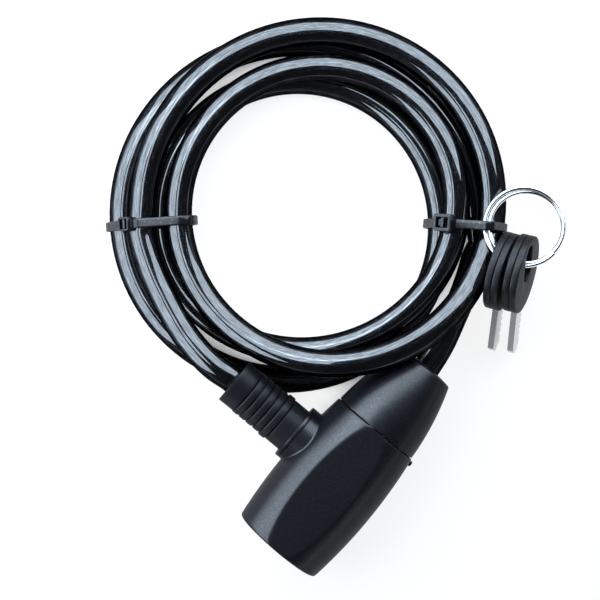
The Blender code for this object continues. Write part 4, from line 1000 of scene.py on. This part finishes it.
def rib_tree():
    """A rounded ring on every point of a mesh, turned by the point's lean and scaled by its swell."""
    tree, given, made = geometry_tree("ribs_on_places", Crest=BOOT_RADIUS, Width=RIB_WIDTH,
                                      Depth=RIB_SECTION, Rounding=RIB_ROUND)
    points, lean, circle, section, fillet, ring, place, realize, paint, swell = add_nodes(
        tree, "MeshToPoints", "InputNamedAttribute", "CurvePrimitiveCircle", "CurvePrimitiveQuadrilateral",
        "FilletCurve", "CurveToMesh", "InstanceOnPoints", "RealizeInstances", "SetMaterial",
        "InputNamedAttribute", family="GeometryNode")
    inset = maths(tree, "SUBTRACT", given.outputs["Crest"],
                  maths(tree, "MULTIPLY", given.outputs["Depth"], 0.5))
    tree.links.new(inset, circle.inputs["Radius"])
    circle.inputs["Resolution"].default_value = RIB_SIDES
    fillet.mode = "POLY"
    fillet.inputs["Count"].default_value = 4
    lean.data_type = "FLOAT_VECTOR"
    lean.inputs["Name"].default_value = "lean"
    swell.data_type = "FLOAT"
    swell.inputs["Name"].default_value = "swell"
    wire(tree, (given, "Depth", section, "Width"), (given, "Width", section, "Height"),
         (section, "Curve", fillet, "Curve"), (given, "Rounding", fillet, "Radius"),
         (circle, "Curve", ring, "Curve"), (fillet, "Curve", ring, "Profile Curve"),
         (given, "Geometry", points, "Mesh"), (points, "Points", place, "Points"),
         (ring, "Mesh", place, "Instance"), (lean, "Attribute", place, "Rotation"),
         (swell, "Attribute", place, "Scale"), (place, "Instances", realize, "Geometry"),
         (realize, "Geometry", paint, "Geometry"), (given, "Finish", paint, "Material"),
         (paint, "Geometry", made, "Geometry"))
    return tree


def boot_ribs():
    """The ribs as one shape. Their places are points that know how far they lean and swell."""
    places = []
    for i in range(BOOT_RIBS):
        reach, rise, slope = boot_arc(NECK_FACE + BOOT_SLEEVE + (i + 0.5) * RIB_PITCH)
        places.append(((-reach, NECK_Y, FACET + rise), (0, -math.pi / 2 + slope, 0)))
    mesh = bpy.data.meshes.new("rib_places")
    mesh.from_pydata([p for p, lean in places], [], [])
    leans = mesh.attributes.new("lean", "FLOAT_VECTOR", "POINT")
    leans.data.foreach_set("vector", [v for p, lean in places for v in lean])
    swell = mesh.attributes.new("swell", "FLOAT", "POINT")
    swell.data.foreach_set("value", [1 + RIB_BULGE / BOOT_RADIUS] + [1.0] * (BOOT_RIBS - 1))
    helper = bpy.data.objects.new("rib_places", mesh)
    bpy.context.scene.collection.objects.link(helper)
    modifier = helper.modifiers.new("ribs", "NODES")
    modifier.node_group = rib_tree()
    set_inputs(modifier, Crest=BOOT_RADIUS + RIB_OUT, Width=RIB_WIDTH, Depth=RIB_SECTION,
               Rounding=RIB_ROUND, Finish=rubber)
    shape = bmesh.new()
    shape.from_mesh(baked(helper, modifier))
    return shape


as_piece("ribbed_boot", settle(merged(boot_core(), boot_ribs()), "ribbed_boot"), rubber, "lock_body",
         "boot_rubber", "boot", sharp=60)

# %% [markdown]
# ## The two ties
# A tie is a nylon strap pulled tight round the bundle, so in its own plane it is the shortest loop round all
# the circles that the cable makes there. Its section is a flat bar with rounded edges. The head is a small
# block with a pocket, where the cut end of the strap and the pawl show.

# %% The straps' loops
TIE_DIRECTIONS = (86.2, 274.7)
TIE_HEAD_LEANS = (45.0, 122.0)
STRAP_WIDTH = 3.4 * MM
STRAP_EDGE = 0.35 * MM
STRAP_SPACING = 0.8 * MM
QUARTERS = ((1, 1, 0), (-1, 1, 90), (-1, -1, 180), (1, -1, 270))
HEAD_CORNER = 0.9 * MM
HEAD_POCKET = 2.0 * MM
HEAD_OVER_STRAP = 0.2 * MM
TIE_HEADS = ((5.6 * MM, 5.0 * MM, 3.2 * MM), (7.2 * MM, 6.2 * MM, 4.4 * MM))
RING_SET_IN = 1.5 * MM
RING_LIFT = 24.5 * MM
RING_WIRE = 0.8 * MM
RING_PITCH = 1.8 * MM


def tie_frame(direction):
    """A tie's plane: X out of the coil's middle, Y up."""
    angle = COIL_ZERO - math.radians(direction)
    middle = [(a + b) / 2 for a, b in zip(UPPER_CENTRE, LOWER_CENTRE)]
    return frame_of((*middle, 0), (math.cos(angle), math.sin(angle), 0), (0, 0, 1))


def crossings(points, place):
    """Where a line of points crosses a tie's plane on its own side: (distance out, height)."""
    local = [place.inverted() @ p for p in points]
    found = []
    for a, b in zip(local, local[1:]):
        if (a.z < 0) != (b.z < 0) and a.x > 0:
            at = a.lerp(b, a.z / (a.z - b.z))
            found.append((at.x, at.y))
    return found


def half_hull(points):
    """One side of the convex outline of sorted points."""
    kept = []
    for x, y in points:
        while len(kept) > 1:
            (ax, ay), (bx, by) = kept[-2:]
            if (bx - ax) * (y - ay) - (by - ay) * (x - ax) > 0:
                break
            kept.pop()
        kept.append((x, y))
    return kept[:-1]


def strap_loop(circles, grow, count=96):
    """The convex loop round circles of (x, y, radius), at a distance from them, with even points."""
    points = []
    for x, y, radius in circles:
        for angle in whole_turn(count):
            points.append((x + (radius + grow) * math.cos(angle), y + (radius + grow) * math.sin(angle)))
    points.sort()
    hull = half_hull(points) + half_hull(points[::-1])
    even = []
    for a, b in zip(hull, hull[1:] + hull[:1]):
        a, b = Vector(a), Vector(b)
        pieces = max(1, round((b - a).length / STRAP_SPACING))
        even += [a.lerp(b, i / pieces) for i in range(pieces)]
    return even


def strap(circles, place):
    """A flat bar with rounded edges along the loop."""
    loop = strap_loop(circles, CLEAR + STRAP_THICK / 2)
    half_thick, half_wide = STRAP_THICK / 2, STRAP_WIDTH / 2
    section = []
    for side_out, side_wide, start in QUARTERS:
        for angle in (0, 30, 60, 90):
            turn = math.radians(start + angle)
            section.append((side_out * (half_thick - STRAP_EDGE) + STRAP_EDGE * math.cos(turn),
                            side_wide * (half_wide - STRAP_EDGE) + STRAP_EDGE * math.sin(turn)))
    rows = []
    for before, here, after in zip(loop[-1:] + loop[:-1], loop, loop[1:] + loop[:1]):
        way = (after - before).normalized()
        out = Vector((way.y, -way.x))
        rows.append([place @ Vector((here.x + out.x * a, here.y + out.y * a, b)) for a, b in section])
    return skin(rows, loop=True)


def tie_head_place(circles, place, lean):
    """Where a tie's head stands: on the strap, on the strand that lies furthest out towards its lean."""
    normal = Vector((math.cos(math.radians(lean)), math.sin(math.radians(lean))))
    held = max(circles, key=lambda c: c[0] * normal.x + c[1] * normal.y + c[2])
    foot = held[2] + CLEAR + HEAD_OVER_STRAP
    seat = place @ Vector((held[0] + foot * normal.x, held[1] + foot * normal.y, 0))
    up = place.to_3x3() @ Vector((normal.x, normal.y, 0))
    across = place.to_3x3() @ Vector((0, 0, 1))
    return frame_of(seat, across.cross(up), across)


def rounded_block(low, high, edge, place, segments=3):
    """A block between two corners with rounded edges."""
    shape = bmesh.new()
    middle = [(a + b) / 2 for a, b in zip(low, high)]
    size = [b - a for a, b in zip(low, high)]
    stretched = Matrix.Translation(middle) @ Matrix.Diagonal((*size, 1))
    bmesh.ops.create_cube(shape, size=1.0, matrix=stretched)
    bmesh.ops.bevel(shape, geom=shape.edges[:], offset=edge, segments=segments, profile=0.5, affect="EDGES")
    bmesh.ops.transform(shape, matrix=place, verts=shape.verts)
    return shape


def framed_block(low, high, floor_at, wall, place):
    """A block with an open pocket on top: a closed skin of rounded rectangles, up the outside, over the rim
    and down the inside."""
    def rectangle(grow, height):
        row = []
        half = ((high[0] - low[0]) / 2 + grow, (high[1] - low[1]) / 2 + grow)
        round_by = max(HEAD_CORNER + grow, 0.15 * MM)
        for sx, sy, start in QUARTERS:
            for angle in range(0, 91, 18):
                turn = math.radians(start + angle)
                row.append(place @ Vector((sx * (half[0] - round_by) + round_by * math.cos(turn),
                                           sy * (half[1] - round_by) + round_by * math.sin(turn), height)))
        return row
    soft, fine, inner = 0.35 * MM, 0.1 * MM, 0.2 * MM
    rows = [rectangle(-soft, low[2]), rectangle(-fine, low[2] + fine), rectangle(0, low[2] + soft)]
    rows += [rectangle(0, high[2] - soft), rectangle(-fine, high[2] - fine), rectangle(-soft, high[2])]
    rows += [rectangle(-wall + inner, high[2]), rectangle(-wall, high[2] - inner)]
    rows.append(rectangle(-wall, floor_at))
    return skin(rows)


def tie(name, number, extra, node):
    """One tie, strap and head, round the cable and whatever extra circles it holds."""
    place = tie_frame(TIE_DIRECTIONS[number])
    circles = [(x, y, CABLE_RADIUS) for x, y in crossings(coarse_coil, place)] + extra
    head_place = tie_head_place(circles, place, TIE_HEAD_LEANS[number])
    length, width, height = TIE_HEADS[number]
    low, high = (-length / 2, -width / 2, 0.0), (length / 2, width / 2, height)
    wall = (width - STRAP_WIDTH) / 2 - 0.1 * MM
    head = framed_block(low, high, height - HEAD_POCKET, wall, head_place)
    foot = height - 2.4 * MM
    half_thick, half_wide = STRAP_THICK / 2, STRAP_WIDTH / 2
    end = rounded_block((-half_thick, -half_wide, foot), (half_thick, half_wide, height - 0.3 * MM),
                        0.15 * MM, head_place)
    pawl = rounded_block((half_thick + 0.2 * MM, -half_wide * 0.7, foot),
                         (half_thick + 1.3 * MM, half_wide * 0.7, height - 1.0 * MM), 0.2 * MM, head_place)
    mesh = settle(merged(strap(circles, place), head, end, pawl), name)
    return as_piece(name, mesh, strap_look, "cable_side", "tie_plastic", node)


strands = crossings(coarse_coil, tie_frame(TIE_DIRECTIONS[1]))
ring_out = max(strands)[0] - RING_SET_IN
wires = (ring_out, RING_LIFT, RING_PITCH / 2 + RING_WIRE + CLEAR)
tie("strap_left", 0, [], "tie_left")
tie("strap_right", 1, [wires], "tie_right")

# %% [markdown]
# ## The split ring
# The ring is one wire wound twice. Under the tie its two turns lie side by side, and on the far side they lie
# on each other. It hangs on its hinge, which the joint gives.

# %% Split ring
RING_RADIUS = 14.2 * MM
RING_TURNS = 2
RING_STEPS = 90
RING_SIDES = 16
RING_START = 45.0
RING_AWAY = math.radians(40.0)


def ring_frame():
    """The ring's place: its middle out from its hinge, X away from the coil."""
    hinge = Vector(joints["ring_swing"]["pos_m"])
    away = Vector((math.cos(RING_AWAY), math.sin(RING_AWAY), 0))
    along = -Vector(joints["ring_swing"]["axis"])
    return frame_of(hinge + away * (RING_RADIUS - RING_PITCH / 2), away, -along)


def ring_point(turn):
    """The wire's middle line in the ring's own frame, at a count of turns."""
    under_tie = (180 - RING_START) / 360
    angle = 2 * math.pi * turn + math.radians(RING_START)
    lying = math.pi / 2 * (1 - math.cos(angle)) / 2
    radius = RING_RADIUS - RING_PITCH * math.sin(lying) * (turn - under_tie)
    height = RING_PITCH * math.cos(lying) * (turn - RING_TURNS / 2)
    return Vector((radius * math.cos(angle), radius * math.sin(angle), height))


ring_place = ring_frame()
ring_line = [ring_place @ ring_point(i / RING_STEPS) for i in range(RING_TURNS * RING_STEPS + 1)]
ring_mesh = swept("ring_run", ring_line, RING_WIRE, RING_SIDES, chrome)
as_piece("key_ring_wire", ring_mesh, chrome, "ring", "chrome", "split_ring")

# %% [markdown]
# ## The keys
# Each key head is two moulded halves that meet in a fine line round the rim. A flat outline with a hole,
# given depth and a rounded edge, makes one half, and its mirror the other. The blade comes from the solid
# model.

# %% Key heads
KEY_HEAD_RADIUS = 14.25 * MM
KEY_HEAD_THICK = 5.2 * MM
KEY_HOLE_LENGTH = 14.4 * MM
KEY_HOLE_WIDTH = 8.0 * MM
KEY_HOLE_OFFSET = 4.8 * MM
KEY_EDGE = 0.45 * MM
KEY_COLUMNS = 120
KEY_SLIDES = (1.5 * MM, 0.0)
KEY_STRIKES = (16.5, 14.5)
KEY_LEAN = math.radians(19.0)
KEY_SLOPE = math.radians(36.5)


def key_frame(number):
    """A key's place: its origin on its hinge, X towards the blade's tip, Y up across the head."""
    hinge = Vector(joints[f"key_{number + 1}_swing"]["pos_m"])
    strike = RING_AWAY - math.radians(90) - math.radians(KEY_STRIKES[number])
    level = Vector((math.cos(strike), math.sin(strike), 0))
    left = Vector((level.y, -level.x, 0))
    rising = left * math.sin(KEY_LEAN) + Vector((0, 0, 1)) * math.cos(KEY_LEAN)
    blade = level * math.cos(KEY_SLOPE) - rising * math.sin(KEY_SLOPE)
    across = level * math.sin(KEY_SLOPE) + rising * math.cos(KEY_SLOPE)
    return frame_of(hinge, blade, across)


def half_head(place, side):
    """One moulded half of a key head, on one side of the parting plane."""
    curve = bpy.data.curves.new("half_head", "CURVE")
    curve.dimensions = "2D"
    curve.fill_mode = "BOTH"
    curve.bevel_depth = KEY_EDGE
    curve.bevel_resolution = 3
    curve.extrude = KEY_HEAD_THICK / 4 - KEY_EDGE
    curve.offset = -KEY_EDGE
    reach = (KEY_HOLE_LENGTH - KEY_HOLE_WIDTH) / 2
    hole = []
    for end in (-1, 1):
        for angle in steps_between(-90, 90, 17):
            turn = math.radians(angle)
            hole.append((end * (reach + KEY_HOLE_WIDTH / 2 * math.cos(turn)) - KEY_HOLE_OFFSET,
                         end * KEY_HOLE_WIDTH / 2 * math.sin(turn)))
    rim = [(KEY_HEAD_RADIUS * math.cos(a), KEY_HEAD_RADIUS * math.sin(a)) for a in whole_turn(KEY_COLUMNS)]
    for loop in (rim, hole):
        spline = curve.splines.new("POLY")
        spline.points.add(len(loop) - 1)
        for point, (x, y) in zip(spline.points, loop):
            point.co = (x, y, 0, 1)
        spline.use_cyclic_u = True
    helper = bpy.data.objects.new("half_head", curve)
    bpy.context.scene.collection.objects.link(helper)
    bpy.context.view_layer.update()
    graph = bpy.context.evaluated_depsgraph_get()
    mesh = bpy.data.meshes.new_from_object(helper.evaluated_get(graph))
    bpy.data.objects.remove(helper)
    shape = bmesh.new()
    shape.from_mesh(mesh)
    middle = Matrix.Translation((0, 0, side * (KEY_HEAD_THICK / 4)))
    bmesh.ops.transform(shape, matrix=place @ middle, verts=shape.verts)
    return shape


for number in range(2):
    slid = Matrix.Translation((KEY_HOLE_OFFSET + KEY_SLIDES[number], 0, 0))
    head_place = key_frame(number) @ slid
    key = f"key_{number + 1}"
    mesh = settle(merged(half_head(head_place, 1), half_head(head_place, -1)), f"{key}_grip")
    as_piece(f"{key}_grip", mesh, head_plastic, key, "textured_plastic", f"{key}_head", sharp=50)

# %% [markdown]
# ## What the solid model shows itself
# The cylinder, its wafers, the core, the bolt, the key blades and the small steel parts have the right shape
# already. They only get their metals.

# %% Metals for the solid model's own pieces
CARRIED_OVER = {
    "lock_core": zinc, "bolt_carrier": zinc, "cylinder_plug": brass, "plug_clip": steel, "latch": steel,
    "latch_spring": steel, "locking_bolt": steel, "bolt_pin": steel, "cap_ferrule": steel, "cap_pin": steel,
    "cap_rope_end": steel, "neck_ferrule": steel, "neck_pin": steel, "neck_rope_end": steel,
    "key_1_blade": blade_steel, "key_2_blade": blade_steel,
}
for number in range(1, 6):
    CARRIED_OVER[f"wafer_{number}"] = brass
for name, look in CARRIED_OVER.items():
    for holder in nodes[name].material_slots:
        holder.material = look
print(len(CARRIED_OVER), "solids keep their own mesh")
